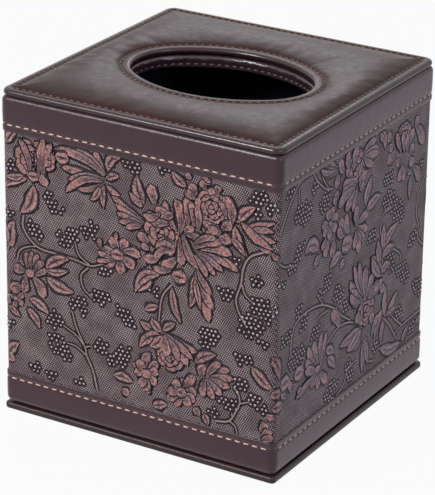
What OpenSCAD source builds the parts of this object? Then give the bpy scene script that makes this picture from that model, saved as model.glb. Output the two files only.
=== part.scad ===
// Cube tissue box cover: a fibreboard carcass wrapped in embossed floral leather, with
// plain leather bands sewn round its top and bottom, a padded top panel with an oval
// mouth, standing on a wrapped base flap. A leather hinge strip along the back joins the
// two, and magnets in the front hold them shut.
// +Z is up, the front is -Y, and the origin is the middle of the base flap's underside.

/* [Overall] */
// Outside width of the wrapped walls
cover_w = 130; // [120:1:160]
// Outside depth of the wrapped walls
cover_d = 130; // [120:1:160]
// Height from the table to the rim of the top panel
cover_h = 142; // [100:1:180]

/* [Skins] */
// Thickness of the leather of the wrap, bands, panel and base
leather_t = 0.6; // [0.45:0.05:0.75]
// Thickness of the felt lining
lining_t = 0.5; // [0.3:0.1:0.6]
// Gap at the seam where the wrap and the bands meet themselves on the back
seam_gap = 0.2; // [0.1:0.05:0.4]
// Distance of that seam from the middle of the back
seam_offset = 50; // [30:1:54]

/* [Boards] */
// Thickness of the four wall boards
wall_board_t = 4; // [4:0.25:5]
// Thickness of the carcass top board
top_board_t = 4; // [3:0.25:5]
// Thickness of the card inside the top panel
panel_board_t = 1; // [0.9:0.1:2]
// Thickness of the board inside the base flap
base_board_t = 1.8; // [1.6:0.1:3]

/* [Rolled edges] */
// Plan radius of the wall corners
wall_corner_r = 3; // [3:0.1:3.6]
// Radius of the rolled lower edge of the walls
bottom_roll_r = 2.8; // [2.6:0.1:2.8]
// Radius of the rolled upper edge of the walls
top_roll_r = 2.2; // [1.8:0.1:2.5]
// Plan radius of the top panel's corners
panel_corner_r = 4.6; // [4.6:0.1:6]
// Plan radius of the base flap's corners
base_corner_r = 2; // [1.6:0.1:3]
// Radius of the base flap's upper and lower edges
base_edge_r = 1.1; // [0.9:0.05:1.2]

/* [Bands] */
// Height of the plain upper band
upper_band_h = 15; // [12:0.5:20]
// Height of the plain lower band
lower_band_h = 14.5; // [12:0.5:20]
// Distance of each band's stitches from the edge that meets the floral wrap
band_stitch_inset = 3; // [2.5:0.1:5]
// Height of the lower band's turn-in on the inside of the walls
band_turn_in = 10; // [6:0.5:14]
// Width of the upper band's turn-in on the top of the walls
top_turn_in = 9; // [6:0.5:12]

/* [Mouth] */
// Length of the oval mouth, across the cover
mouth_l = 80; // [70:1:90]
// Width of the oval mouth
mouth_w = 56; // [50:1:60]
// Radius of the two end arcs of the mouth
mouth_end_r = 21.5; // [20:0.5:22.5]
// Width of the collar's turn-ins above and below the carcass top board
collar_turn_in = 6; // [4:0.5:9]
// Height of the collar's stitches above its lower edge
collar_stitch_h = 1.5; // [1.2:0.1:2]

/* [Padding] */
// Thickness of the foam where it is pressed at the panel's edges
foam_edge_t = 0.5; // [0.5:0.05:1]
// Extra height of the padding between the two seams
crown_h = 1.6; // [0.8:0.1:2.5]
// Depth of the sewn channels in the panel
channel_depth = 0.3; // [0.15:0.05:0.35]
// Distance of the panel's edge seam from its edge
edge_seam_inset = 3.8; // [3.8:0.1:4.5]
// Distance of the mouth's seam from the mouth
mouth_seam_inset = 4.3; // [3.8:0.1:6]
// Width of the panel leather's turn-in under the outer edge
panel_turn_in = 12; // [8:0.5:15]
// Width of the panel leather's turn-in under the mouth's edge
mouth_turn_in = 8; // [6:0.5:10]

/* [Stitching] */
// Thickness of the sewing thread
thread_d = 0.6; // [0.4:0.05:0.7]
// Pitch of the stitches on the bands
band_pitch = 4; // [3:0.1:5]
// Length of a stitch on the bands
band_stitch_l = 2.9; // [2:0.1:2.9]
// Pitch of the stitches on the top panel and round the mouth
panel_pitch = 3.2; // [2.7:0.1:4]
// Length of a stitch on the top panel and round the mouth
panel_stitch_l = 2.3; // [1.6:0.1:2.4]
// Room between a thread and the channel it lies in
thread_room = 0.08; // [0.05:0.01:0.1]

/* [Base flap] */
// How far the base flap stands out past the walls
base_overhang = 0.2; // [0:0.05:0.6]
// Gap between the base flap and the walls
base_gap = 0.3; // [0.25:0.05:0.6]
// Width of the base leather's turn-in on the flap's upper face
base_turn_in = 14; // [10:0.5:20]

/* [Hinge] */
// Length of the leather hinge strip along the back
hinge_l = 118; // [80:1:118]
// Height of the hinge strip's leaf behind the lower band
hinge_wall_leaf = 12; // [8:0.5:14]
// Width of the hinge strip's leaf inside the base flap
hinge_base_leaf = 12; // [8:0.5:13]
// Free length of the strip above the fold, out of the base leaf's way
hinge_fold_room = 0.4; // [0.35:0.05:0.5]

/* [Magnets] */
// Distance of each magnet from the middle of the front
magnet_x = 42; // [25:1:48]
// Length of a bar magnet
magnet_l = 12; // [8:0.5:16]
// Width of a bar magnet
magnet_w = 2; // [1.5:0.1:2.2]
// Height of a bar magnet
magnet_t = 2; // [1:0.1:3]
// Width of a steel catch plate
plate_w = 5; // [4:0.1:6]
// Length of a steel catch plate
plate_l = 14; // [10:0.5:18]
// Thickness of a steel catch plate
plate_t = 1; // [0.6:0.1:1.3]

/* [Hidden] */
$fn = 48;

overrun = 1;           // how far a cut runs past the face it opens
glue_room = 0.05;      // room round a magnet, plate or strip in its pocket
soft_room = 0.3;       // room between the foam and the leather over it
facet_room = 0.1;      // how far the mouth's stitches clear the flats of the panel's channel

// Levels, from the table up
base_t = 2 * leather_t + base_board_t;
panel_edge_t = 2 * leather_t + panel_board_t + foam_edge_t;
wall_z0 = base_t + base_gap;
wall_z1 = cover_h - panel_edge_t;
skins_t = 2 * leather_t;
board_z0 = wall_z0 + skins_t;
board_z1 = wall_z1 - skins_t;
lower_band_z1 = wall_z0 + lower_band_h;
upper_band_z0 = wall_z1 - upper_band_h;
top_board_z0 = board_z1 - top_board_t;
fold_z = wall_z0 - base_gap / 2;

// Half sizes in plan, [x, y]
wall_half = [cover_w, cover_d] / 2;
board_half = wall_half - skins_t * [1, 1];
inner_half = board_half - wall_board_t * [1, 1];
base_half = wall_half + base_overhang * [1, 1];

// The mouth is a four-centre oval: two end arcs and two long arcs, tangent to each other
mouth_a = mouth_l / 2;
mouth_b = mouth_w / 2;
end_x = mouth_a - mouth_end_r;
long_r = (pow(end_x, 2) + pow(mouth_b, 2) - pow(mouth_end_r, 2)) / (2 * (mouth_b - mouth_end_r));
long_y = long_r - mouth_b;
end_half_angle = atan2(long_y, end_x);

thread_r = thread_d / 2;
channel_r = thread_r + thread_room;

// A rectangle of half size h, with corners of radius r
module rounded_plate(h, r) {
    square(2 * [h.x - r, h.y], center = true);
    square(2 * [h.x, h.y - r], center = true);
    for (sx = [-1, 1], sy = [-1, 1])
        translate([sx * (h.x - r), sy * (h.y - r)]) circle(r);
}

// A prism of half size h from z0 to z1
module prism(h, z0, z1) {
    translate([-h.x, -h.y, z0]) cube([2 * h.x, 2 * h.y, z1 - z0]);
}

// Sweeps a profile round a rounded rectangle of half size h. The profile's x is measured
// outwards from the centre of the corner arcs, of radius r, and its y is the height.
module frame_sweep(h, r) {
    for (turn = [0:3]) {
        run = turn % 2 == 0 ? h - r * [1, 1] : [h.y - r, h.x - r];
        rotate(90 * turn) {
            translate([run.x, run.y, 0]) rotate([90, 0, 0])
                linear_extrude(2 * run.y) children();
            translate([run.x, run.y, 0]) rotate_extrude(angle = 90) children();
        }
    }
}

// The outer part of a rolled edge: w wide, from z0 to z1, rounded by r0 below and r1 above
module rolled_profile(w, z0, z1, r0, r1) {
    translate([0, z0 + r0]) square([w, z1 - z0 - r0 - r1]);
    translate([0, z0]) square([w - r0, r0]);
    translate([0, z1 - r1]) square([w - r1, r1]);
    intersection() {
        translate([w - r0, z0 + r0]) circle(r0);
        translate([w - r0, z0]) square(r0);
    }
    intersection() {
        translate([w - r1, z1 - r1]) circle(r1);
        translate([w - r1, z1 - r1]) square(r1);
    }
}

// A block of half size h from z0 to z1, with corners of radius r and rolled edges r0 and r1
module rolled_block(h, r, z0, z1, r0, r1) {
    prism(h - r * [1, 1], z0, z1);
    frame_sweep(h, r) rolled_profile(r, z0, z1, r0, r1);
}

// The walls' outer form at depth s under the bands' surface
module wall_block(s) {
    rolled_block(wall_half - s * [1, 1], wall_corner_r - s, wall_z0 + s, wall_z1 - s,
        bottom_roll_r - s, top_roll_r - s);
}

// The mouth's oval, grown by d
module oval(d) {
    edge_x = (long_r + d) * end_x / (long_r - mouth_end_r);
    intersection() {
        square(2 * [edge_x, mouth_b + d], center = true);
        translate([0, -long_y]) circle(long_r + d, $fn = 96);
        translate([0, long_y]) circle(long_r + d, $fn = 96);
    }
    for (side = [-1, 1]) translate([side * end_x, 0]) circle(mouth_end_r + d);
}

// The mouth's oval, grown by d, as a prism from z0 to z1
module oval_prism(d, z0, z1) {
    translate([0, 0, z0]) linear_extrude(z1 - z0) oval(d);
}

// A stitch of length l lying along X, with round ends
module stitch(l) {
    rotate([0, 90, 0]) rotate_extrude($fn = 16) intersection() {
        union() {
            square([thread_d, l - thread_d], center = true);
            for (end = [-1, 1]) translate([0, end * (l / 2 - thread_r)]) circle(thread_r);
        }
        translate([0, -l / 2]) square([thread_r, l]);
    }
}

// Stitches at a pitch along the four straight runs of a rounded rectangle of half size h
module frame_stitches(h, r, pitch, l) {
    for (turn = [0:3]) {
        size = turn % 2 == 0 ? h : [h.y, h.x];
        run = 2 * (size.y - r);
        count = floor(run / pitch);
        rotate(90 * turn) for (k = [0:count - 1])
            translate([size.x, (k + 1 / 2 - count / 2) * run / count, 0])
                rotate(90) stitch(l);
    }
}

// Stitches at a pitch round the mouth, on its oval grown by d
module mouth_ring_stitches(d, pitch, l) {
    end_count = floor((mouth_end_r + d) * 2 * end_half_angle * PI / 180 / pitch);
    long_count = floor((long_r + d) * (180 - 2 * end_half_angle) * PI / 180 / pitch);
    for (side = [0, 180]) rotate(side) {
        for (k = [0:end_count - 1])
            translate([end_x, 0, 0])
                rotate(end_half_angle * ((2 * k + 1) / end_count - 1))
                    translate([mouth_end_r + d, 0, 0]) rotate(90) stitch(l);
        for (k = [0:long_count - 1])
            translate([0, -long_y, 0])
                rotate(90 + (90 - end_half_angle) * ((2 * k + 1) / long_count - 1))
                    translate([long_r + d, 0, 0]) rotate(90) stitch(l);
    }
}

// The channel that a band's stitches lie in
module band_channel(z) {
    frame_sweep(wall_half, wall_corner_r) translate([wall_corner_r, z]) circle(channel_r, $fn = 24);
}

// The slit where a skin meets itself on the back
module skin_seam() {
    translate([seam_offset, cover_d / 2 - wall_corner_r - skins_t, 0])
        cube([seam_gap, wall_corner_r + skins_t + overrun, cover_h]);
}

// The padded panel is drawn on rings of points. A quarter of a ring goes from the middle
// of one side, round a corner, to the middle of the next side.
side_steps = 3;
corner_steps = 3;
quarter = 2 * side_steps + corner_steps;
ring_n = 4 * quarter;

// Point i of the panel's outline, taken in by d
function panel_point(i, d) =
    let (q = floor(i / quarter), j = i % quarter, r = panel_corner_r - d,
        h = wall_half - d * [1, 1],
        size = q % 2 == 0 ? h : [h.y, h.x],
        turn = 90 * (j - side_steps) / corner_steps,
        p = j < side_steps ? [size.x, (size.y - r) * j / side_steps] :
            j > side_steps + corner_steps ?
                [(size.x - r) * (quarter - j) / side_steps, size.y] :
            size - r * [1 - cos(turn), 1 - sin(turn)])
    q == 0 ? p : q == 1 ? [-p.y, p.x] : q == 2 ? -p : [p.y, -p.x];

// Point i of the mouth, grown by d. Half of each quarter's steps lie on an end arc, and
// the other half on a long arc.
function mouth_point(i, d) =
    let (q = floor(i / quarter), j = i % quarter,
        half_steps = (q % 2 == 0 ? j : quarter - j) * 2 / quarter,
        turn = half_steps <= 1 ? end_half_angle * half_steps :
            end_half_angle + (90 - end_half_angle) * (half_steps - 1),
        centre = half_steps <= 1 ? [end_x, 0] : [0, -long_y],
        p = centre + ((half_steps <= 1 ? mouth_end_r : long_r) + d) * [cos(turn), sin(turn)])
    [q == 0 || q == 3 ? p.x : -p.x, q < 2 ? p.y : -p.y];

// A station of the panel's section is [share, d, z]: share 0 is the outline taken in by
// d, share 1 the mouth grown by d, and a share between them lies between the two seams.
function station_point(s, i) =
    s[0] == 0 ? concat(panel_point(i, s[1]), s[2]) :
    s[0] == 1 ? concat(mouth_point(i, s[1]), s[2]) :
    concat(panel_point(i, edge_seam_inset + lip_w) * (1 - s[0])
        + mouth_point(i, mouth_seam_inset + lip_w) * s[0], s[2]);

// A ring-shaped solid from the closed list of its section's stations
module ring_solid(stations) {
    count = len(stations);
    polyhedron(
        points = [for (s = stations, i = [0:ring_n - 1]) station_point(s, i)],
        faces = [for (k = [0:count - 1], i = [0:ring_n - 1], half = [0, 1])
            let (k2 = (k + 1) % count, i2 = (i + 1) % ring_n,
                a = k * ring_n + i, b = k * ring_n + i2,
                c = k2 * ring_n + i2, d = k2 * ring_n + i)
            half == 0 ? [a, b, c] : [a, c, d]]
    );
}

nose_r = panel_edge_t / 2;
nose_z = cover_h - nose_r;
lip_w = channel_r * 2;      // half width of a sewn channel, from its bottom to its edge
nose_steps = 4;
crown_steps = 4;

// The rounded nose of the panel, s under its surface, in the given number of steps, from
// below upwards. share 0 is the outer edge and share 1 the mouth.
function nose(share, s, steps) = [for (k = [0:steps])
    let (turn = -90 + 180 * k / steps)
    [share, nose_r - (nose_r - s) * cos(turn), nose_z + (nose_r - s) * sin(turn)]];

// The sewn channel beside that edge, from the nose inwards
function channel(share, inset) = [
    [share, inset - lip_w, cover_h],
    [share, inset, cover_h - channel_depth],
    [share, inset + lip_w, cover_h]
];

// The crown between the seams, s under the surface
function crown(s) = [for (k = [1:crown_steps - 1])
    [k / crown_steps, 0, cover_h - s + crown_h * pow(sin(180 * k / crown_steps), 0.7)]];

function reversed(list) = [for (k = [len(list) - 1:-1:0]) list[k]];

// The panel's upper surface, from under the outer edge to under the mouth's edge
function panel_surface() = concat(
    nose(0, 0, nose_steps), channel(0, edge_seam_inset), crown(0),
    reversed(channel(1, mouth_seam_inset)), reversed(nose(1, 0, nose_steps)));

// The padding's upper surface, s under the panel's
function padding_surface(s) = concat(
    [[0, edge_seam_inset + lip_w, cover_h - s]], crown(s),
    [[1, mouth_seam_inset + lip_w, cover_h - s]]);

module front_board() {
    color("burlywood") difference() {
        intersection() {
            wall_block(skins_t);
            translate([-cover_w, -cover_d, 0]) cube([2 * cover_w, cover_d - inner_half.y, cover_h]);
        }
        for (side = [-1, 1]) magnet_pocket(side);
    }
}

module back_board() {
    color("burlywood") intersection() {
        wall_block(skins_t);
        translate([-cover_w, inner_half.y, 0]) cube([2 * cover_w, cover_d - inner_half.y, cover_h]);
    }
}

// A board between the front and back boards, on the side given by its sign
module side_board(side) {
    color("burlywood") intersection() {
        wall_block(skins_t);
        translate([side * (inner_half.x + cover_w / 2), 0, cover_h / 2])
            cube([cover_w, 2 * inner_half.y, cover_h], center = true);
    }
}

module top_board() {
    color("burlywood") difference() {
        prism(inner_half, top_board_z0, board_z1);
        oval_prism(leather_t, top_board_z0 - overrun, board_z1 + overrun);
    }
}

// The floral leather, round the walls and turned in over their edges. Behind the lower
// band it leaves its place on the back to the hinge strip.
module floral_wrap() {
    color([0.35, 0.26, 0.25]) difference() {
        wall_block(leather_t);
        wall_block(skins_t);
        prism(inner_half, 0, cover_h);
        skin_seam();
        hinge_slot(overrun);
    }
}

module upper_band() {
    color([0.24, 0.16, 0.16]) difference() {
        wall_block(0);
        wall_block(leather_t);
        prism(wall_half - top_turn_in * [1, 1], 0, cover_h);
        prism(2 * wall_half, 0, upper_band_z0);
        band_channel(upper_band_z0 + band_stitch_inset);
        skin_seam();
    }
}

module lower_band() {
    leaf_half = inner_half - leather_t * [1, 1];
    color([0.24, 0.16, 0.16]) {
        difference() {
            wall_block(0);
            wall_block(leather_t);
            prism(leaf_half, 0, cover_h);
            prism(2 * wall_half, lower_band_z1, cover_h);
            band_channel(lower_band_z1 - band_stitch_inset);
            skin_seam();
            hinge_slot(0);
        }
        difference() {
            prism(inner_half, wall_z0 + leather_t, wall_z0 + band_turn_in);
            prism(leaf_half, 0, cover_h);
        }
    }
}

// The slot that the strip's leaf lies in behind the band, deepened outwards by more
module hinge_slot(more) {
    translate([-hinge_l / 2 - glue_room, board_half.y - glue_room, 0])
        cube([hinge_l + 2 * glue_room, leather_t + 2 * glue_room + more,
            fold_z + hinge_fold_room + hinge_wall_leaf + glue_room]);
}

module upper_band_stitches() {
    color([0.85, 0.6, 0.5]) translate([0, 0, upper_band_z0 + band_stitch_inset])
        frame_stitches(wall_half, wall_corner_r, band_pitch, band_stitch_l);
}

module lower_band_stitches() {
    color([0.85, 0.6, 0.5]) translate([0, 0, lower_band_z1 - band_stitch_inset])
        frame_stitches(wall_half, wall_corner_r, band_pitch, band_stitch_l);
}

module side_lining() {
    color("black") difference() {
        prism(inner_half, wall_z0 + band_turn_in, top_board_z0 - lining_t);
        prism(inner_half - lining_t * [1, 1], 0, cover_h);
    }
}

module top_lining() {
    color("black") difference() {
        prism(inner_half, top_board_z0 - lining_t, top_board_z0);
        oval_prism(collar_turn_in + glue_room, top_board_z0 - overrun, top_board_z0 + overrun);
    }
}

// The leather round the edge of the carcass top board's opening, turned in over both
// faces, with a groove for its stitches
module mouth_collar() {
    z0 = top_board_z0 - leather_t;
    z1 = board_z1 + leather_t;
    groove_z = z0 + collar_stitch_h;
    color([0.24, 0.16, 0.16]) difference() {
        oval_prism(collar_turn_in, z0, z1);
        difference() {
            oval_prism(collar_turn_in + overrun, top_board_z0, board_z1);
            oval_prism(leather_t, z0, z1);
        }
        oval_prism(0, z0 - overrun, z1 + overrun);
        oval_prism(channel_r, groove_z - channel_r, groove_z + channel_r);
    }
}

module collar_stitches() {
    color([0.7, 0.55, 0.45]) translate([0, 0, top_board_z0 - leather_t + collar_stitch_h])
        mouth_ring_stitches(0, panel_pitch, panel_stitch_l);
}

module panel_board() {
    edge = nose_r + glue_room;
    z0 = wall_z1 + leather_t;
    color("tan") difference() {
        translate([0, 0, z0]) linear_extrude(panel_board_t)
            rounded_plate(wall_half - edge * [1, 1], panel_corner_r);
        oval_prism(edge, z0 - overrun, z0 + panel_board_t + overrun);
    }
}

// The foam between the panel's card and its leather, thin at the seams and full between
module panel_foam() {
    depth = leather_t + soft_room;
    floor_z = wall_z1 + leather_t + panel_board_t;
    color("lightgray") ring_solid(concat(
        [[0, nose_r, floor_z], [0, nose_r, cover_h - depth]], padding_surface(depth),
        [[1, nose_r, cover_h - depth], [1, nose_r, floor_z]]));
}

// The padded panel's leather: turned in under its outer edge and under the mouth's edge
module panel_leather() {
    under_z = wall_z1 + leather_t;
    color([0.24, 0.16, 0.16]) ring_solid(concat(
        [[0, panel_turn_in, wall_z1]], panel_surface(), [[1, mouth_turn_in, wall_z1]],
        reversed(concat(
            [[0, panel_turn_in, under_z]], nose(0, leather_t, 2), padding_surface(leather_t),
            reversed(nose(1, leather_t, 2)), [[1, mouth_turn_in, under_z]]))));
}

module panel_edge_stitches() {
    color([0.5, 0.35, 0.25]) translate([0, 0, cover_h - channel_depth + channel_r])
        frame_stitches(wall_half - edge_seam_inset * [1, 1], panel_corner_r - edge_seam_inset,
            panel_pitch, panel_stitch_l);
}

module mouth_stitches() {
    color([0.5, 0.35, 0.25]) translate([0, 0, cover_h - channel_depth + channel_r + facet_room])
        mouth_ring_stitches(mouth_seam_inset, panel_pitch, panel_stitch_l);
}

// The middle of the flat of the front board's lower edge, clear of its rolled part
magnet_y = (inner_half.y + board_half.y - (bottom_roll_r - skins_t)) / 2;

// A bar magnet's place in the front board's lower edge, grown by room
module magnet_bar(side, room) {
    translate([side * magnet_x - magnet_l / 2 - room, -magnet_y - magnet_w / 2 - room, board_z0])
        cube([magnet_l + 2 * room, magnet_w + 2 * room, magnet_t + room]);
}

module magnet_pocket(side) {
    magnet_bar(side, glue_room);
}

module wall_magnets() {
    color("silver") for (side = [-1, 1]) magnet_bar(side, 0);
}

// A catch plate's place in the base board's upper face, grown by room
module plate_bar(side, room) {
    translate([side * magnet_x - plate_l / 2 - room, -magnet_y - plate_w / 2 - room,
        base_t - leather_t - plate_t - room])
        cube([plate_l + 2 * room, plate_w + 2 * room, plate_t + room]);
}

module catch_plates() {
    color("silver") for (side = [-1, 1]) plate_bar(side, 0);
}

// The hinge strip's leaf behind the lower band, in the wrap's layer
module hinge_wall_leaf() {
    color([0.2, 0.13, 0.13]) translate([-hinge_l / 2, board_half.y, fold_z + hinge_fold_room])
        cube([hinge_l, leather_t, hinge_wall_leaf]);
}

// The strip's leaf inside the base flap: up through the leather, and flat on the board
module hinge_base_leaf() {
    flat_z = base_t - skins_t;
    color([0.2, 0.13, 0.13]) {
        translate([-hinge_l / 2, board_half.y, flat_z])
            cube([hinge_l, leather_t, fold_z - glue_room - flat_z]);
        translate([-hinge_l / 2, board_half.y - hinge_base_leaf, flat_z])
            cube([hinge_l, hinge_base_leaf, leather_t]);
    }
}

// The base flap's form at depth s under its surface
module base_block(s) {
    rolled_block(base_half - s * [1, 1], base_corner_r - s, s, base_t - s,
        base_edge_r - s, base_edge_r - s);
}

module base_board() {
    color("burlywood") difference() {
        base_block(leather_t);
        for (side = [-1, 1]) plate_bar(side, glue_room);
        translate([-hinge_l / 2 - glue_room, board_half.y - hinge_base_leaf - glue_room,
            base_t - skins_t - glue_room])
            cube([hinge_l + 2 * glue_room, hinge_base_leaf + leather_t + 2 * glue_room,
                leather_t + overrun]);
    }
}

module base_leather() {
    color([0.24, 0.16, 0.16]) difference() {
        base_block(0);
        base_block(leather_t);
        prism(base_half - base_turn_in * [1, 1], base_t - leather_t, base_t + overrun);
        translate([-hinge_l / 2 - glue_room, board_half.y - glue_room, base_t - skins_t])
            cube([hinge_l + 2 * glue_room, leather_t + 2 * glue_room, base_t]);
    }
}

module base_lining() {
    color("black") prism(base_half - (base_turn_in + glue_room) * [1, 1], base_t - leather_t, base_t);
}

front_board();
back_board();
side_board(-1);  // left_board
side_board(1);  // right_board
top_board();
floral_wrap();
upper_band();
lower_band();
upper_band_stitches();
lower_band_stitches();
side_lining();
top_lining();
mouth_collar();
collar_stitches();
panel_board();
panel_foam();
panel_leather();
panel_edge_stitches();
mouth_stitches();
wall_magnets();
hinge_wall_leaf();
base_board();
base_leather();
base_lining();
catch_plates();
hinge_base_leaf();
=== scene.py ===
import math

import bmesh
import bpy
import numpy as np
from mathutils import Matrix, Vector

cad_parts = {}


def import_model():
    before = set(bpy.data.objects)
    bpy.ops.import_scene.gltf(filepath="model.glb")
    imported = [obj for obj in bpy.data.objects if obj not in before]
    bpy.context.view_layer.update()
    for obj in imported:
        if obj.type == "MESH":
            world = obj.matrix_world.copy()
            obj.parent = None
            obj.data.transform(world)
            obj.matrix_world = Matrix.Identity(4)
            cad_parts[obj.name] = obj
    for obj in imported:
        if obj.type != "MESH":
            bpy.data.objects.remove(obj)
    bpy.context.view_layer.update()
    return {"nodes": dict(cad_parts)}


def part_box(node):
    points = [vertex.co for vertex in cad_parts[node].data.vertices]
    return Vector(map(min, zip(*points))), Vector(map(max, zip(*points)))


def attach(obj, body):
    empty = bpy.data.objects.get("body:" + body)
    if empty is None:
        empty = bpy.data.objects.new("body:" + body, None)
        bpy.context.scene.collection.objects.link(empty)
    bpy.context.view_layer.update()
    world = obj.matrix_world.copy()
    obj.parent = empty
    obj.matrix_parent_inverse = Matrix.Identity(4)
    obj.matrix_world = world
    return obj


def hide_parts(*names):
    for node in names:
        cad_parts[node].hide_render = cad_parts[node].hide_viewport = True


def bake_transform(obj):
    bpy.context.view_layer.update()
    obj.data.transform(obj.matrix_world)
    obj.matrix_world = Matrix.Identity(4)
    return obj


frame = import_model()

# Lengths are in mm up to Parts.piece() and floral_pattern(), which turn them into metres.
# The camera, the lamps and the floor are set out in metres.
MM = 0.001
COVER, BASE = "cover", "base_flap"
PLAIN_KIND, PETAL_KIND, LEAF_KIND = 0.0, 1.0, 2.0   # the sorts of motif in the brocade

# Sizes, as in the part's source
HALF = 65.0             # half width and depth of the wrapped walls
RIM_Z = 142.0           # rim of the top panel
LEATHER_T = 0.6
WALL_R = 3.0            # plan radius of the wall corners
WRAP_HALF = HALF - LEATHER_T
WRAP_R = WALL_R - LEATHER_T
TOP_ROLL_R = 2.2
BOTTOM_ROLL_R = 2.8
WALL_Z0, WALL_Z1 = 3.3, 139.3
LOWER_BAND_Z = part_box("lower_band")[1].z / MM
UPPER_BAND_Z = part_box("upper_band")[0].z / MM
BAND_STITCH_INSET = 3.0
BAND_PITCH, BAND_STITCH_L = 4.0, 2.7
PANEL_PITCH, PANEL_STITCH_L = 3.2, 2.1
SEAM_X, SEAM_GAP = 50.0, 0.2
PANEL_R = 4.6
NOSE_R = (RIM_Z - WALL_Z1) / 2
EDGE_SEAM, MOUTH_SEAM = 3.8, 4.3     # the panel's seams, from its edge and from the mouth
CHANNEL_DEPTH = 0.3
MOUTH_A, MOUTH_B, MOUTH_END_R = 40.0, 28.0, 21.5
END_X = MOUTH_A - MOUTH_END_R
LONG_R = (END_X ** 2 + MOUTH_B ** 2 - MOUTH_END_R ** 2) / (2 * (MOUTH_B - MOUTH_END_R))
LONG_Y = LONG_R - MOUTH_B
END_HALF_ANGLE = math.atan2(LONG_Y, END_X)
COLLAR_STITCH_Z = 135.0
LOWER_SEAM_Z = LOWER_BAND_Z - BAND_STITCH_INSET
UPPER_SEAM_Z = UPPER_BAND_Z + BAND_STITCH_INSET
HINGE_HALF_L = 59.0
HINGE_Y0, HINGE_Y1 = 63.82, 64.38   # the faces of the hinge's fold, just inside its leaves' faces
HINGE_Z0, HINGE_Z1 = 2.4, 4.6       # the fold's foot and top, which reach a little into the leaves


# Meshes
def linked(name, mesh):
    """An object of that mesh, in the scene"""
    piece = bpy.data.objects.new(name, mesh)
    bpy.context.scene.collection.objects.link(piece)
    return piece


def worn(piece, node):
    """Puts a piece on the cover in place of a CAD node"""
    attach(piece, COVER)
    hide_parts(node)
    return piece


def grid_faces(rows, cols, wrap_cols=False, start=0):
    """Faces of a grid of rows x cols points"""
    faces = []
    for r in range(start, start + (rows - 1) * cols, cols):
        for c in range(cols if wrap_cols else cols - 1):
            c2 = (c + 1) % cols
            faces.append((r + c, r + c2, r + cols + c2, r + cols + c))
    return faces


class Parts:
    """Collects grids and fans of points into one mesh. across and along are a vertex's place
    on its own motif, and kind is the motif's sort, for the material."""

    def __init__(self):
        self.verts, self.across, self.along = [], [], []
        self.faces, self.indices, self.tones, self.kinds, self.count = [], [], [], [], 0

    def grid(self, points, index=0, tone=1.0, wrap_cols=False, across=None, along=None, kind=PLAIN_KIND):
        rows, cols = points.shape[:2]
        faces = grid_faces(rows, cols, wrap_cols, self.count)
        self.add(points.reshape(-1, 3), faces, index, tone, across, along, kind)

    def fan(self, circle, index, tone):
        """One flat face round a circle of points"""
        self.add(circle, [tuple(range(self.count, self.count + len(circle)))], index, tone)

    def add(self, verts, faces, index=0, tone=1.0, across=None, along=None, kind=PLAIN_KIND):
        self.verts.append(verts)
        self.across.append(np.zeros(len(verts)) if across is None else np.ravel(across))
        self.along.append(np.zeros(len(verts)) if along is None else np.ravel(along))
        self.faces += faces
        self.indices += [index] * len(faces)
        self.tones += [tone] * len(faces)
        self.kinds += [kind] * len(faces)
        self.count += len(verts)

    def piece(self, name, materials, smooth=True):
        """The collected mesh as an object. tone is a value per face, for its material."""
        mesh = bpy.data.meshes.new(name)
        mesh.from_pydata((np.concatenate(self.verts) * MM).tolist(), [], self.faces)
        for material in materials:
            mesh.materials.append(material)
        mesh.polygons.foreach_set("material_index", self.indices)
        mesh.attributes.new("tone", "FLOAT", "FACE").data.foreach_set("value", self.tones)
        mesh.polygons.foreach_set("use_smooth", [smooth] * len(mesh.polygons))
        mesh.update()
        return linked(name, mesh)


# Materials
def srgb(r, g, b):
    """A colour written as 0-255 sRGB, in linear light"""
    def channel(c):
        c /= 255
        return c / 12.92 if c <= 0.04045 else ((c + 0.055) / 1.055) ** 2.4
    return (channel(r), channel(g), channel(b), 1.0)


class Nodes:
    """A node tree under construction"""

    def __init__(self, tree):
        self.nodes, self.links = tree.nodes, tree.links

    def node(self, kind, inputs=(), **settings):
        node = self.nodes.new(kind)
        for key, value in settings.items():
            setattr(node, key, value)
        for key, value in dict(inputs).items():
            if isinstance(value, bpy.types.NodeSocket):
                self.links.new(value, node.inputs[key])
            else:
                node.inputs[key].default_value = value
        return node

    def math(self, operation, a, b=0.0, c=0.0):
        return self.node("ShaderNodeMath", {0: a, 1: b, 2: c}, operation=operation).outputs[0]

    def plus(self, a, b):
        return self.math("ADD", a, b)

    def less(self, a, b):
        return self.math("SUBTRACT", a, b)

    def times(self, a, b):
        return self.math("MULTIPLY", a, b)

    def most(self, *values):
        largest = values[0]
        for value in values[1:]:
            largest = self.math("MAXIMUM", largest, value)
        return largest

    def arch(self, share):
        """0 at shares 0 and 1, and 1 half way"""
        return self.math("SINE", self.times(share, math.pi))

    def mix(self, factor, a, b, blend="MIX"):
        node = self.node("ShaderNodeMix", {0: factor, 6: a, 7: b}, data_type="RGBA", blend_type=blend)
        return node.outputs[2]

    def seen_directly(self):
        """1 for camera, glossy and transmission rays, 0 for the rays that light the object"""
        path = self.node("ShaderNodeLightPath")
        rays = ("Is Camera Ray", "Is Glossy Ray", "Is Transmission Ray")
        return self.most(*(path.outputs[ray] for ray in rays))


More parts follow.
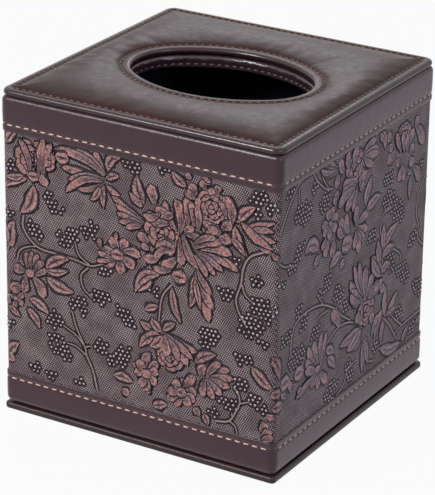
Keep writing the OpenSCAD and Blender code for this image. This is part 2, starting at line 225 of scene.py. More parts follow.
class Shader(Nodes):
    """A Principled material under construction. Scales are per mm, and depths in mm."""

    def __init__(self, name, roughness, specular, metallic=0.0, sheen=0.0, sheen_tint=(1.0, 1.0, 1.0)):
        self.material = bpy.data.materials.new(name)
        self.material.use_nodes = True
        super().__init__(self.material.node_tree)
        self.bsdf = self.nodes["Principled BSDF"]
        self.set("Roughness", roughness)
        self.set("Specular IOR Level", specular)
        self.set("Metallic", metallic)
        if sheen:
            self.set("Sheen Weight", sheen)
            self.set("Sheen Roughness", 0.5)
            self.set("Sheen Tint", (*sheen_tint, 1))
        self.place = self.node("ShaderNodeTexCoord").outputs["Object"]

    def set(self, socket, value):
        self.bsdf.inputs[socket].default_value = value

    def noise(self, per_mm, detail=2.0, rough=0.5, place=None):
        return self.node("ShaderNodeTexNoise", {"Vector": place or self.place, "Scale": per_mm / MM,
                                                "Detail": detail, "Roughness": rough}).outputs["Fac"]

    def cells(self, per_mm, feature="F1"):
        return self.node("ShaderNodeTexVoronoi", {"Vector": self.place, "Scale": per_mm / MM},
                         feature=feature).outputs["Distance"]

    def attribute(self, name):
        return self.node("ShaderNodeAttribute", attribute_name=name).outputs["Fac"]

    def ramp(self, value, stops):
        ramp = self.node("ShaderNodeValToRGB", {"Fac": value})
        elements = ramp.color_ramp.elements
        while len(elements) < len(stops):
            elements.new(0.5)
        for element, (position, colour) in zip(elements, stops):
            element.position = position
            element.color = colour if isinstance(colour, tuple) else (colour, colour, colour, 1)
        return ramp.outputs["Color"]

    def colour(self, value):
        self.links.new(value, self.bsdf.inputs["Base Color"])

    def roughness(self, value):
        self.links.new(value, self.bsdf.inputs["Roughness"])

    def bump(self, height, distance_mm, over=None):
        inputs = {"Height": height, "Distance": distance_mm * MM}
        if over is not None:
            inputs["Normal"] = over
        normal = self.node("ShaderNodeBump", inputs).outputs["Normal"]
        self.links.new(normal, self.bsdf.inputs["Normal"])
        return normal


def leather(name, dark, light, roughness=0.4, specular=0.35, grain_mm=0.04, crease_mm=0.08, sheen=0.0):
    """Plain smooth leather: fine pebbled grain, soft creases and slight mottling"""
    s = Shader(name, roughness, specular, sheen=sheen, sheen_tint=(1.0, 0.7, 0.82))
    mottle = s.ramp(s.noise(0.06, 4.0, 0.6), [(0.3, 0.0), (0.7, 1.0)])
    s.colour(s.mix(mottle, dark, light))
    spread = 0.18
    s.roughness(s.math("MULTIPLY_ADD", s.noise(0.4, 3.0), spread, roughness - spread / 2))
    grain = s.bump(s.cells(1.7, feature="SMOOTH_F1"), grain_mm)
    s.bump(s.noise(0.2, 3.0), crease_mm, over=grain)
    return s.material


def face_run(s):
    """How far along its wall a point is, and its height, in metres. The normal tells which wall."""
    normal = s.node("ShaderNodeSeparateXYZ", {0: s.node("ShaderNodeTexCoord").outputs["Normal"]})
    place = s.node("ShaderNodeSeparateXYZ", {0: s.place})
    facing_x = s.math("GREATER_THAN", s.math("ABSOLUTE", normal.outputs["X"]),
                      s.math("ABSOLUTE", normal.outputs["Y"]))
    run = s.node("ShaderNodeMix", {0: facing_x, 2: place.outputs["X"], 3: place.outputs["Y"]},
                 data_type="FLOAT")
    return run.outputs[0], place.outputs["Z"]


def weave(s, row_mm=0.98, dash_mm=0.9, slope=0.22, row_shift=0.42):
    """Height of a twill of short raised dashes in slightly sloping rows, 0 to 1"""
    run, z = face_run(s)
    row = s.math("DIVIDE", s.math("MULTIPLY_ADD", run, slope, z), row_mm * MM)
    dash = s.plus(s.math("DIVIDE", run, dash_mm * MM), s.times(s.math("FLOOR", row), row_shift))
    across = s.arch(s.math("FRACT", row))
    along = s.arch(s.math("FRACT", dash))
    return s.times(along, s.math("MULTIPLY_ADD", across, 0.6, 0.4))


def floral_ground():
    """The wrap between its motifs: a woven look pressed into brown leather. Its colour follows the dashes'
    height, painted light on their tops and painted shade in the hollows between them
    """
    s = Shader("leather_floral_ground", 0.5, 0.25)
    height = weave(s)
    patchy = s.noise(0.12, 3.0)
    # lit: painted light on the raised dashes' tops; the near black that low places take is painted shade in
    # the hollows
    lit = s.mix(s.ramp(patchy, [(0.35, 0.0), (0.7, 1.0)]), srgb(156, 132, 134), srgb(203, 181, 180))
    s.colour(s.mix(s.ramp(height, [(0.35, 0.0), (1.0, 1.0)]), srgb(12, 4, 7), lit))
    s.bump(height, 0.16)
    return s.material


def pressed_ground():
    """The darker, smoother ground pressed down round the motifs. Its dashes are paler on top by their
    height, as painted light.
    """
    s = Shader("floral_halo", 0.5, 0.12)
    height = weave(s)
    patchy = s.noise(0.5, 3.0)
    # the paler colour on the dashes' tops is painted light, as on the main ground
    s.colour(s.mix(patchy, srgb(26, 15, 18), s.mix(height, srgb(30, 18, 22), srgb(88, 74, 77))))
    s.bump(height, 0.05)
    return s.material


def smooth_step(s, value, start, end):
    """0 before start and 1 after end"""
    node = s.node("ShaderNodeMapRange", {"Value": value, "From Min": start, "From Max": end},
                  interpolation_type="SMOOTHSTEP")
    return node.outputs["Result"]


def near(s, value, place, width):
    """1 where the value is at place, falling to 0 at a distance of width"""
    return smooth_step(s, s.math("ABSOLUTE", s.less(value, place)), width, 0.3 * width)


def petal_detail(s, across, along, base, pale):
    """A petal's colour with its pale patches and a pale rim painted as a highlight, and where it is cut and
    outlined
    """
    patches = s.ramp(s.noise(0.7, 3.0, 0.6), [(0.5, 0.0), (0.66, 0.65)])
    # painted highlight: a pale band along each side of the petal
    rim = s.times(near(s, across, 0.62, 0.24), 0.95)
    base = s.mix(s.most(rim, patches), base, pale)
    ragged = s.math("MULTIPLY_ADD", s.noise(0.9, 2.0), 0.5, -0.25)
    side = s.plus(across, ragged)
    fade = s.less(1.0, smooth_step(s, along, 0.35, 0.85))
    creases = s.times(s.most(near(s, side, 0.4, 0.17), near(s, side, 0.04, 0.15)), fade)
    creases = s.times(creases, near(s, s.attribute("kind"), PETAL_KIND, 0.6))
    lens = s.arch(s.math("POWER", along, 0.8))
    rib = smooth_step(s, s.less(side, s.times(lens, 0.2)), 0.06, -0.05)
    rib = s.times(rib, near(s, s.attribute("kind"), LEAF_KIND, 0.6))
    crumbs = s.ramp(s.noise(0.8, 3.0, 0.65), [(0.415, 0.85), (0.465, 0.0)])
    return base, s.most(crumbs, creases, rib), smooth_step(s, side, 0.68, 0.9)


def floral_relief(name, base, dark, pale=None, stipple=0.5, rise_mm=0.05, specular=0.35, sheen=0.45):
    """The raised motifs, stippled with the dark colour along fine pressed lines. Where a pale
    colour is given, they are petals with pale patches, pale rims painted as highlights, outlines and
    creases."""
    s = Shader(name, 0.45, specular, sheen=sheen, sheen_tint=(0.9, 0.8, 1.0))
    line_mm, bend = 0.75, 9.0
    across = s.math("ABSOLUTE", s.attribute("across"))
    z = s.node("ShaderNodeSeparateXYZ", {0: s.place}).outputs["Z"]
    lines = s.math("SINE", s.plus(s.times(z, 2 * math.pi / (line_mm * MM)), s.times(s.noise(0.35), bend)))
    specks = s.ramp(s.noise(2.0, 2.0, 0.7), [(0.44, 1.0), (0.58, 0.0)])
    shade = s.times(specks, s.times(s.math("MULTIPLY_ADD", lines, 0.3, 0.6), stipple))
    crown = s.math("POWER", s.less(1.0, s.math("POWER", across, 2.0)), 0.5)
    height = s.plus(s.times(crown, 3.0), s.noise(1.2))
    if pale:
        base, cut, edge = petal_detail(s, across, s.attribute("along"), base, pale)
        shade = s.most(shade, cut, edge)
        height = s.less(height, s.times(cut, 1.2))
    tone = s.attribute("tone")
    grey = s.node("ShaderNodeCombineColor", {0: tone, 1: tone, 2: tone}).outputs[0]
    s.colour(s.mix(1.0, s.mix(shade, base, dark), grey, "MULTIPLY"))
    s.bump(height, rise_mm)
    return s.material


def thread(name, light, dark):
    """Sewing thread: fine twisted strands, with painted shade on each stitch's ends where they dip into
    their holes
    """
    s = Shader(name, 0.55, 0.3, sheen=0.2)
    # painted shade: each stitch's ends, where they dip into their holes, are drawn towards the dark colour
    hole_shade = smooth_step(s, s.attribute("tone"), 0.66, 1.0)
    strands = s.times(s.noise(2.5, 3.0), 0.5)
    s.colour(s.mix(s.most(strands, hole_shade), light, dark))
    s.bump(s.noise(4.0, 2.0), 0.03)
    return s.material


def felt(name, dark, light):
    s = Shader(name, 0.95, 0.15, sheen=0.15)
    fibres = s.noise(1.2, 6.0, 0.7)
    s.colour(s.mix(fibres, dark, light))
    s.bump(fibres, 0.15)
    return s.material


def board(name, dark, light, stretch):
    """Pressed fibre or card, its fibres drawn out by stretch"""
    s = Shader(name, 0.8, 0.2)
    mapping = s.node("ShaderNodeMapping", {"Vector": s.place, "Scale": (1, 1, stretch)}).outputs[0]
    fibres = s.noise(0.8, 6.0, 0.65, place=mapping)
    s.colour(s.mix(fibres, dark, light))
    s.bump(fibres, 0.06)
    return s.material


def foam(name):
    s = Shader(name, 0.9, 0.2)
    cells = s.cells(1.3)
    s.colour(s.mix(cells, srgb(150, 146, 138), srgb(205, 200, 190)))
    s.bump(cells, 0.2)
    return s.material


def steel(name, tint, roughness):
    s = Shader(name, roughness, 0.5, metallic=1.0)
    mapping = s.node("ShaderNodeMapping", {"Vector": s.place, "Scale": (1, 12, 12)}).outputs[0]
    brushed = s.noise(0.5, 4.0, place=mapping)
    s.colour(s.mix(brushed, tint, srgb(150, 150, 152)))
    s.bump(brushed, 0.01)
    return s.material


PLAIN = leather("leather_plain", srgb(44, 20, 26), srgb(54, 28, 34),
                roughness=0.28, specular=0.36, sheen=0.35)
PANEL = leather("leather_panel", srgb(44, 20, 21), srgb(58, 30, 31),
                roughness=0.3, specular=0.09, grain_mm=0.006, crease_mm=0.1)
PANEL_EDGE = leather("leather_panel_edge", srgb(40, 19, 22), srgb(54, 30, 33),
                     roughness=0.24, specular=0.42, grain_mm=0.02, crease_mm=0.05)
COLLAR = leather("leather_collar", srgb(42, 28, 32), srgb(56, 40, 44),
                 roughness=0.2, specular=0.6, crease_mm=0.35)
BASE_LEATHER = leather("leather_base", srgb(40, 24, 26), srgb(52, 33, 34))
HINGE = leather("leather_hinge", srgb(34, 22, 22), srgb(46, 30, 30), roughness=0.5)
GROUND = floral_ground()
# the pale colour serves the petals' pale patches and their painted highlight rims
PETAL = floral_relief("floral_petals", srgb(186, 124, 115), srgb(12, 2, 4), pale=srgb(194, 154, 148),
                      stipple=0.9, rise_mm=0.14, specular=0.28)
GROOVE = floral_relief("floral_grooves", srgb(24, 12, 15), srgb(14, 6, 8),
                       rise_mm=0.0, specular=0.12, sheen=0.0)
STEM = floral_relief("floral_stems", srgb(146, 124, 120), srgb(110, 84, 76), stipple=0.4)
BERRY = floral_relief("floral_berries", srgb(182, 164, 162), srgb(142, 124, 123), stipple=0.2, rise_mm=0.02)
HALO_GROUND = pressed_ground()
# each thread's second colour is both its strands' darker tone and the painted shade at the stitches' ends
THREAD_LIGHT = thread("thread_light", srgb(238, 204, 188), srgb(112, 52, 40))
THREAD_DARK = thread("thread_dark", srgb(126, 98, 76), srgb(50, 32, 26))
THREAD_COLLAR = thread("thread_collar", srgb(104, 84, 80), srgb(44, 30, 30))
FELT = felt("felt", srgb(22, 20, 32), srgb(34, 32, 46))
FIBREBOARD = board("fibreboard", srgb(120, 92, 62), srgb(160, 128, 92), 0.2)
CARD = board("card", srgb(140, 122, 96), srgb(168, 150, 122), 3.0)
FOAM = foam("foam")
MAGNET = steel("magnet_coat", srgb(120, 122, 126), 0.25)
PLATE = steel("catch_plate", srgb(140, 142, 146), 0.35)

CAD_MATERIALS = {
    "front_board": FIBREBOARD, "back_board": FIBREBOARD, "left_board": FIBREBOARD,
    "right_board": FIBREBOARD, "top_board": FIBREBOARD, "base_board": FIBREBOARD,
    "floral_wrap": GROUND, "upper_band": PLAIN, "lower_band": PLAIN,
    "upper_band_stitches": THREAD_LIGHT, "lower_band_stitches": THREAD_LIGHT,
    "side_lining": FELT, "top_lining": FELT, "base_lining": FELT,
    "mouth_collar": COLLAR, "collar_stitches": THREAD_COLLAR,
    "panel_board": CARD, "panel_foam": FOAM, "panel_leather": PANEL,
    "panel_edge_stitches": THREAD_DARK, "mouth_stitches": THREAD_DARK,
    "wall_magnets": MAGNET, "catch_plates": PLATE, "base_leather": BASE_LEATHER,
    "hinge_wall_leaf": HINGE, "hinge_base_leaf": HINGE,
}
for node_name, material in CAD_MATERIALS.items():
    node_object = frame["nodes"][node_name]
    if not node_object.material_slots:
        node_object.data.materials.append(material)
    for material_slot in node_object.material_slots:
        material_slot.material = material


# The brocade relief
# The pattern is laid out flat in mm: u runs round the wrap from the middle of the front
# towards the right side, and z is the height. It repeats after two sides.

# rounded petals: base u, z, tip u, z, width, bend
PETALS = [
    (-44.5, 109.5, -40, 123.5, 4.2, 0.1), (-43.5, 110, -45.5, 122.5, 3, 0.1),
    (-50.5, 108.5, -56, 122.5, 3.2, -0.1), (-46.5, 109, -44, 125.5, 3.4, 0),
    (-48.5, 108, -42.5, 104.5, 4.4, 0.15), (-14.5, 116, -19.5, 124.5, 4.2, 0.12),
    (-14.5, 116, -25, 123.5, 3.2, 0.1), (-14.5, 115.5, -30.5, 123, 3.2, -0.1),
    (-15, 115, -39, 121.5, 4, -0.1), (-15.5, 114.5, -36.5, 115, 3.4, 0.05),
    (-15.5, 114, -27, 113.5, 2.4, 0), (-15.5, 113.5, -32.5, 109.5, 3.2, -0.08),
    (-16, 112.5, -33.5, 104, 3.6, -0.14), (-15.5, 112, -28, 106.5, 2.6, 0.1), (-6, 84.5, 2, 84, 4.4, 0.12),
    (-12, 80.5, -18.5, 81.5, 2.4, 0), (-11.5, 79.5, -19, 77.5, 2.2, 0), (-17, 84, -18, 87.5, 2.6, 0),
    (-52.5, 65.5, -53.5, 73.5, 3.2, 0), (-51, 66.5, -50.5, 74.5, 2.6, 0.05),
    (-49.5, 66.5, -47.5, 74, 2.8, 0.05), (-54.5, 65, -59.5, 66, 4.8, 0.1), (-49.5, 65, -44.5, 71, 3.4, 0.1),
    (-54, 62, -55, 55, 4.2, 0.05), (-50, 63, -45, 54.5, 5.2, 0.12), (-49, 64, -43, 68, 2.8, 0),
    (-56.5, 58.5, -62, 56, 4.6, 0.1), (-56.5, 56.5, -61, 55, 3.2, 0.1), (-61.5, 48.5, -64, 51.5, 3, 0),
    (18.5, 99, 13, 110.5, 4, 0.12), (20, 98.5, 17.5, 112, 5.2, -0.14), (17, 105.5, 9, 107, 5.6, 0.2),
    (15, 101.5, 5, 104.5, 4.6, 0.22), (11, 105, 3, 102.5, 3.4, 0.2), (8.5, 108, 6.5, 116, 5.4, 0.02),
    (3.5, 99.5, -12, 107.5, 3.2, 0.04), (3.5, 99, -10, 104, 3, 0.04), (3, 98.5, -9.5, 100.5, 2.8, 0.02),
    (2.5, 97.5, -8.5, 97, 2.6, -0.02), (2, 97, -5, 95, 2.8, -0.05), (6, 91.5, 1, 94.5, 4.6, 0.1),
    (6, 88.5, 2.5, 90, 3.4, 0.1), (18, 93.5, 10, 88, 3.6, -0.3), (17, 90.5, 8.5, 83.5, 3.4, -0.18),
    (10.5, 85.5, 3.5, 84, 4.6, 0.05), (18.5, 87.5, 11.5, 82.5, 4.8, 0.1), (16, 81.5, 7.5, 81, 3.2, 0.1),
    (20.5, 96.5, 21, 84.5, 4.8, 0.02), (21.5, 98, 29, 85, 4.2, -0.08), (22.5, 98.5, 32, 93, 4, 0.2),
    (22.5, 99, 26.5, 100.5, 3.6, 0.3), (23.5, 102.5, 22.5, 114, 4.2, -0.06),
    (26.5, 102.5, 24.5, 113, 3.6, -0.06), (28.5, 101.5, 27.5, 112, 3.4, -0.06),
    (27.5, 116, 25, 120.5, 4.6, 0.1), (27, 114.5, 22.5, 117, 3.8, 0.1), (31.5, 119, 29.5, 122.5, 3.6, 0),
    (37, 119, 37.5, 122, 3.6, 0.05), (34, 122, 30.5, 122.5, 2.6, 0), (43.5, 107.5, 39.5, 118, 5.6, -0.15),
    (41, 109.5, 37.5, 116, 2.6, -0.1), (25, 122, 22.5, 124, 2.8, 0), (38, 105, 30.5, 105.5, 3.6, 0.12),
    (39, 103.5, 32, 101.5, 3.6, 0.1), (39.5, 104.5, 44, 107, 5, 0.1), (38, 100.5, 43.5, 101.5, 5.2, -0.1),
    (37.5, 98.5, 33, 97.5, 3.6, -0.1), (56, 100.5, 61, 100, 3.8, 0), (61.5, 99, 64.5, 96.5, 2.6, 0),
    (29.5, 93, 47, 88, 4, 0.06), (30, 94, 44, 94.5, 4.8, 0.1), (29, 92.5, 43.5, 89, 2.8, 0.04),
    (28.5, 92, 40, 86.5, 2.8, 0.04), (28, 91, 36.5, 84, 2.8, 0.04), (27.5, 94, 39.5, 98.5, 4.2, 0.1),
    (27, 95.5, 37, 100, 3, 0.1), (27, 90.5, 33, 82.5, 3, 0.05), (27, 82.5, 34, 63, 4.8, 0.04),
    (27.5, 83.5, 36, 69, 4.4, -0.04), (28, 84.5, 35, 75.5, 3, -0.04), (-7, 23.5, -3.5, 22, 4, 0),
    (7, 41, 4.5, 42.5, 3, 0), (6.5, 39, 2, 40, 3.4, 0), (6.5, 37, -2, 36, 4, 0.08),
    (6.5, 35, -1, 32, 4.4, -0.08), (7, 31.5, 2.5, 28.5, 4, -0.1), (7, 27.5, 4.5, 26, 4, 0),
    (13.5, 54, 28.5, 49, 4.6, -0.08), (13.5, 53, 24.5, 42, 5, 0.06), (13.5, 53.5, 27, 45.5, 3.6, 0.02),
    (13, 52.5, 20.5, 43, 4.2, 0.1), (13, 52, 14, 43.5, 4.6, 0.1), (13, 52, 12, 45.5, 3.6, 0.1),
    (21.5, 31, 23, 36, 4.2, 0), (23, 31, 28, 38, 4.4, 0.1), (23, 30, 28.5, 31.5, 4.8, 0),
    (22.5, 29, 28, 27, 4.4, 0.05), (22, 28.5, 25, 24, 4.6, 0.08), (21.5, 28.5, 19, 22.5, 4.4, -0.05),
    (20.5, 28.5, 15, 24.5, 4.2, -0.05), (20.5, 29.5, 15, 28.5, 4.4, 0), (21, 30.5, 17.5, 34, 4.6, -0.05),
    (30.5, 39, 33, 43.5, 5.2, 0.2), (34.5, 40, 33.5, 43.5, 4.6, -0.2), (33.5, 39.5, 44, 45, 3.6, 0.06),
    (33.5, 39, 45.5, 41.5, 3.6, 0.03), (33.5, 39, 44, 37.5, 3.6, -0.02),
    (33.5, 38.5, 40.5, 33.5, 3.8, -0.06), (33, 38.5, 37, 30.5, 3.8, -0.1), (32.5, 38, 32, 30, 3.6, -0.1),
    (33.5, 39.5, 40, 47, 3.8, 0.12), (5, 35, 5, 43, 4.8, 0.05), (4.5, 34.5, 1, 39, 4.6, 0.1),
    (5.5, 35, 9.5, 40.5, 4.2, -0.1), (6.5, 34, 10.5, 36, 4.6, 0.05), (6, 33, 10, 30.5, 4.6, -0.08),
    (5, 32, 4, 25.5, 4.8, 0.05), (4, 32, 1.5, 27.5, 4.4, 0.1), (58.5, 21.5, 61.5, 26, 4.2, 0.1),
    (59, 20, 63.5, 23, 3.6, 0.1), (59, 18, 64, 20, 3.6, 0.1), (60.5, 29, 64, 28.5, 3.4, 0.1),
    (123, 117, 126, 124, 5.4, 0.05), (118.5, 117, 119, 124, 4.6, 0.1), (115.5, 116, 112, 123, 4.6, 0.1),
    (109.5, 119, 101, 122.5, 4.4, 0.1), (109.5, 120, 103.5, 124, 3.4, 0.1),
    (109.5, 118, 100, 119.5, 4.4, -0.1), (108, 119.5, 95.5, 123.5, 2.6, 0.1),
    (131, 118.5, 142, 122, 4.2, 0.06), (131.5, 118, 144.5, 117.5, 4.6, 0),
    (131.5, 117.5, 144.5, 116, 4, -0.04), (132, 117, 140, 112, 3.6, -0.1),
    (123.5, 110.5, 114, 111.5, 5.4, 0.1), (123.5, 109.5, 113, 108, 4.6, 0.1),
    (110, 117, 108.5, 111.5, 4.6, 0.1), (124, 106.5, 110.5, 102.5, 5.2, -0.1),
    (125, 105.5, 116.5, 99.5, 5, 0.05), (126, 105.5, 122.5, 97, 3.6, 0.05),
    (128, 106, 133.5, 111.5, 4.6, -0.1), (128.5, 104.5, 132.5, 106.5, 3.6, -0.1),
    (110.5, 106, 108.5, 110, 4.6, 0), (109, 104.5, 107.5, 108.5, 3.6, 0), (119.5, 87, 114, 97.5, 5.2, 0.1),
    (121.5, 87, 118.5, 97.5, 4.6, 0.1), (127, 89.5, 126.5, 98.5, 4.6, 0.05), (129, 89.5, 138, 91, 4.4, 0.1),
    (128.5, 88, 137.5, 85, 4.6, -0.1), (128, 87.5, 135.5, 81, 4.6, -0.1), (127.5, 86.5, 130, 76, 5.2, 0.1),
    (127, 87, 125, 79.5, 4, 0.1), (115.5, 88.5, 111.5, 94, 4.2, 0.1), (103, 91.5, 99.5, 85.5, 4.8, 0.12),
    (108, 89.5, 106.5, 82.5, 5.2, 0.1), (101, 93, 97.5, 89, 3.6, 0.1), (159.5, 111, 152.5, 109, 5.4, 0.1),
    (156, 117.5, 152.5, 121, 4.8, 0.1), (157, 115, 154, 113.5, 4.8, 0.1),
    (164.5, 109.5, 159.5, 119, 3.6, 0), (167.5, 108.5, 165, 118, 3.6, 0), (169.5, 108, 170, 116, 3.6, 0),
    (172, 110, 175, 116.5, 4.6, -0.1), (173.5, 105.5, 177, 108.5, 4.6, 0.1),
    (164, 106.5, 161, 104.5, 4.6, 0.1), (173.5, 103.5, 177, 100.5, 4.6, -0.1),
    (167.5, 102.5, 163, 96.5, 5, 0.06), (169.5, 101.5, 168, 95, 3.6, 0), (174, 98, 174, 96, 3.6, 0),
    (177.5, 98.5, 184, 90.5, 5.2, 0.06), (178.5, 116, 186, 106, 5.6, 0.06),
    (177.5, 116, 180.5, 120.5, 5, 0), (136.5, 53.5, 123, 66, 4.2, 0.06), (136.5, 53.5, 125, 62, 3.6, 0.04),
    (136.5, 54, 126, 72, 3.6, 0.04), (136.5, 54, 130.5, 72, 3.6, 0.03), (137, 54, 136.5, 68, 5.6, 0.02),
    (138, 54, 143, 63, 4.6, -0.04), (138.5, 53.5, 148.5, 57.5, 4.4, -0.06),
    (139, 53, 152.5, 57, 4.4, -0.08), (133.5, 53.5, 126, 56.5, 4.4, 0.1),
    (132.5, 53.5, 123.5, 60, 3.6, 0.1), (146, 57.5, 147, 53.5, 5, 0), (151.5, 54.5, 153, 50.5, 4.6, 0),
    (158, 37.5, 165, 39, 4.4, 0.1), (134, 45, 130, 49, 5.2, 0.1), (144.5, 40, 144, 44.5, 5.2, 0.1),
    (147.5, 31, 153.5, 42.5, 4.4, 0.04), (153.5, 26.5, 155, 36.5, 3.8, 0.04),
    (144.5, 33.5, 150, 41.5, 3.6, 0.04), (134.5, 40.5, 129.5, 32.5, 4.6, 0.1), (139, 35, 139, 32, 4, 0),
    (116, 48.5, 108, 58, 5.4, -0.08), (99.5, 36.5, 100.5, 52.5, 3.8, 0.02),
    (100, 36.5, 104.5, 51.5, 3.2, -0.02), (98.5, 37, 94, 51, 5.2, 0.05), (98, 36.5, 89, 50.5, 4.4, 0.08),
    (97.5, 36.5, 87.5, 45, 4.6, 0.08), (97, 36, 87, 40, 4.6, -0.05), (97.5, 35.5, 91.5, 31.5, 4.6, 0.08),
    (99.5, 34.5, 98, 27.5, 4, 0.04), (100.5, 34.5, 106.5, 28, 4.6, -0.05), (96, 35.5, 80, 31, 3.6, 0),
    (185.5, 23.5, 196, 23, 4.6, 0.1), (76.5, 35.5, 75, 40.5, 3.6, 0), (83.5, 31.5, 82.5, 35, 3.6, 0),
    (72, 34.5, 68.5, 38.5, 3.6, 0),
]
# leaves with a midrib: base u, z, tip u, z, width, bend
LEAVES = [
    (-62.5, 119, -57, 125.5, 4.4, 0.1), (-52.5, 105.5, -64, 99.5, 4.6, -0.12),
    (-54, 107, -63.5, 105, 3.4, 0.1), (-49.5, 103.5, -56, 90, 6.4, 0.15),
    (-13.5, 117, -7.5, 124, 4.6, 0.25), (-14.5, 113.5, -8, 116, 3.4, 0.1),
    (-15.5, 111, -15.5, 100.5, 2.8, -0.05), (-17.5, 110, -22, 103, 3.2, 0.12),
    (-60, 74, -59, 86, 6.4, 0.15), (-62, 75.5, -64, 85, 3.6, 0.05), (-43.5, 68.5, -32, 75, 5.2, 0.12),
    (-44, 67.5, -32.5, 70, 3.4, -0.08), (-43.5, 64.5, -30, 61, 5.6, -0.1), (-52, 53, -42.5, 48, 4.6, 0.1),
    (-53.5, 48.5, -47, 40.5, 3.8, 0.1), (-62.5, 47.5, -56.5, 43.5, 2.8, 0), (3.5, 107, 0, 118.5, 5.6, 0.12),
    (6, 81.5, -0.5, 68.5, 6.4, 0.12), (11, 78.5, -0.5, 68, 5.2, -0.2), (23, 118.5, 16, 123.5, 4.2, 0.08),
    (46.5, 109, 54, 116.5, 4.8, 0.1), (45, 107, 51, 95.5, 4.6, -0.12), (43.5, 101.5, 50, 95.5, 3.4, 0.06),
    (26.5, 81.5, 25, 67.5, 4.6, 0.08), (27, 80.5, 30, 67.5, 3, 0), (16.5, 74.5, 21, 59.5, 3.6, -0.08),
    (4, 61.5, 10.5, 64.5, 3.6, 0.05), (-64, 23.5, -57.5, 31.5, 5, 0.1), (-11, 29, -1.5, 28, 4.4, 0.06),
    (11, 53.5, 1.5, 56, 4.8, 0.08), (12, 54, 7, 59, 4.6, 0.12), (12.5, 54.5, 18.5, 59, 3.6, 0.05),
    (11, 52.5, 1.5, 44.5, 5.2, -0.1), (12.5, 52.5, 6.5, 46, 4.6, 0.1), (8, 19.5, 15, 22, 4.4, 0.08),
    (27, 24, 30, 21, 3.8, 0.08), (31.5, 22.5, 34, 18, 3.6, 0.08), (27.5, 44, 37.5, 50, 4.8, 0.1),
    (53.5, 49, 63.5, 41, 5.2, -0.06), (62.5, 55.5, 66.5, 44.5, 4.8, 0.1),
    (134.5, 95.5, 140, 107, 5.2, 0.06), (135.5, 92.5, 148.5, 95.5, 5.2, 0.08),
    (96, 89.5, 84, 92, 6.6, -0.25), (97, 87, 92, 83, 4, -0.04), (115, 82, 105.5, 78, 5.2, -0.06),
    (118, 78, 114.5, 74.5, 4, 0), (175, 95.5, 174.5, 85, 3.4, 0), (147.5, 123.5, 150.5, 114.5, 4, 0.1),
    (149, 118.5, 145.5, 123.5, 3, 0), (151.5, 70, 165, 78, 5, 0.06), (152.5, 70.5, 152, 81.5, 4.8, 0.02),
    (150.5, 63.5, 147, 76.5, 5, 0.06), (153.5, 66.5, 162.5, 68.5, 5, 0.1), (151.5, 62, 142.5, 70.5, 3.6, 0),
    (153.5, 60.5, 159.5, 62, 3.6, 0), (150, 59, 141.5, 70.5, 5, 0.08), (151, 59.5, 158, 62, 4.8, 0.1),
    (149.5, 65, 147.5, 75.5, 4.8, 0.03), (151.5, 66.5, 161.5, 68.5, 4.4, 0.1),
    (133.5, 41.5, 116, 39.5, 5.4, 0.05), (134.5, 40.5, 122.5, 35, 6.4, 0.1),
    (137, 33.5, 137, 19.5, 4.6, 0.04), (139.5, 33.5, 142.5, 21.5, 4, -0.04),
    (172, 20, 152.5, 25, 5.4, 0.12), (173, 20, 178.5, 25.5, 3.6, -0.05),
    (104.5, 42.5, 111.5, 39, 4.6, 0.08), (106, 38.5, 113, 31.5, 4.6, 0.08), (175.5, 23, 173.5, 19.5, 3, 0),
]
# plain pointed leaves: base u, z, tip u, z, width, bend
BLADES = [
    (-14, 111, -7.5, 108, 2.6, -0.1), (-10, 88.5, -9.5, 92, 2.2, 0), (3, 105.5, -3.5, 110.5, 3.4, 0.05),
    (34, 122.5, 30, 124, 2, 0), (50.5, 108, 63, 112, 2.8, -0.02), (52, 106.5, 62.5, 108, 3.2, 0.05),
    (53, 105.5, 63.5, 104, 3.4, -0.06), (47.5, 109, 62.5, 100.5, 4.2, -0.06),
    (156, 38, 156, 52.5, 4.4, 0.04), (159, 40, 166.5, 46, 3.6, -0.08),
]
# peonies: u, z, radius, turn
PEONIES = [
    (-50, 114.5, 8.6, 10), (-43.5, 116.5, 5.5, 60), (12, 97, 8.4, 20), (34.5, 112.5, 7.6, 30),
    (16, 44, 6.4, 15), (125, 114.5, 8, 10), (167, 115.5, 6.6, 20), (138.5, 47.5, 7.2, 10),
]
# open blossoms: u, z, radius, petals, turn
BLOSSOMS = [
    (-8, 82.5, 8.2, 7, 20), (-59, 51.5, 4.6, 5, 40), (104.5, 98, 6.8, 7, 10),
]
# flower buttons and rounded buds: u, z, radius
BUDS = [
    (-51.5, 64.5, 2.2), (21.5, 29.5, 2.6), (5, 33.5, 2.4), (97.5, 37, 2),
    (-49, 107.5, 2.6), (-35, 118.5, 3.2), (-9, 82.5, 3), (14.5, 91, 3.9), (20, 79.5, 3.5), (35.5, 103, 2.4),
    (65, 39, 2.6), (66, 33, 3), (119.5, 84, 4.6), (82, 41.5, 3.8), (71, 41.5, 3.8),
]
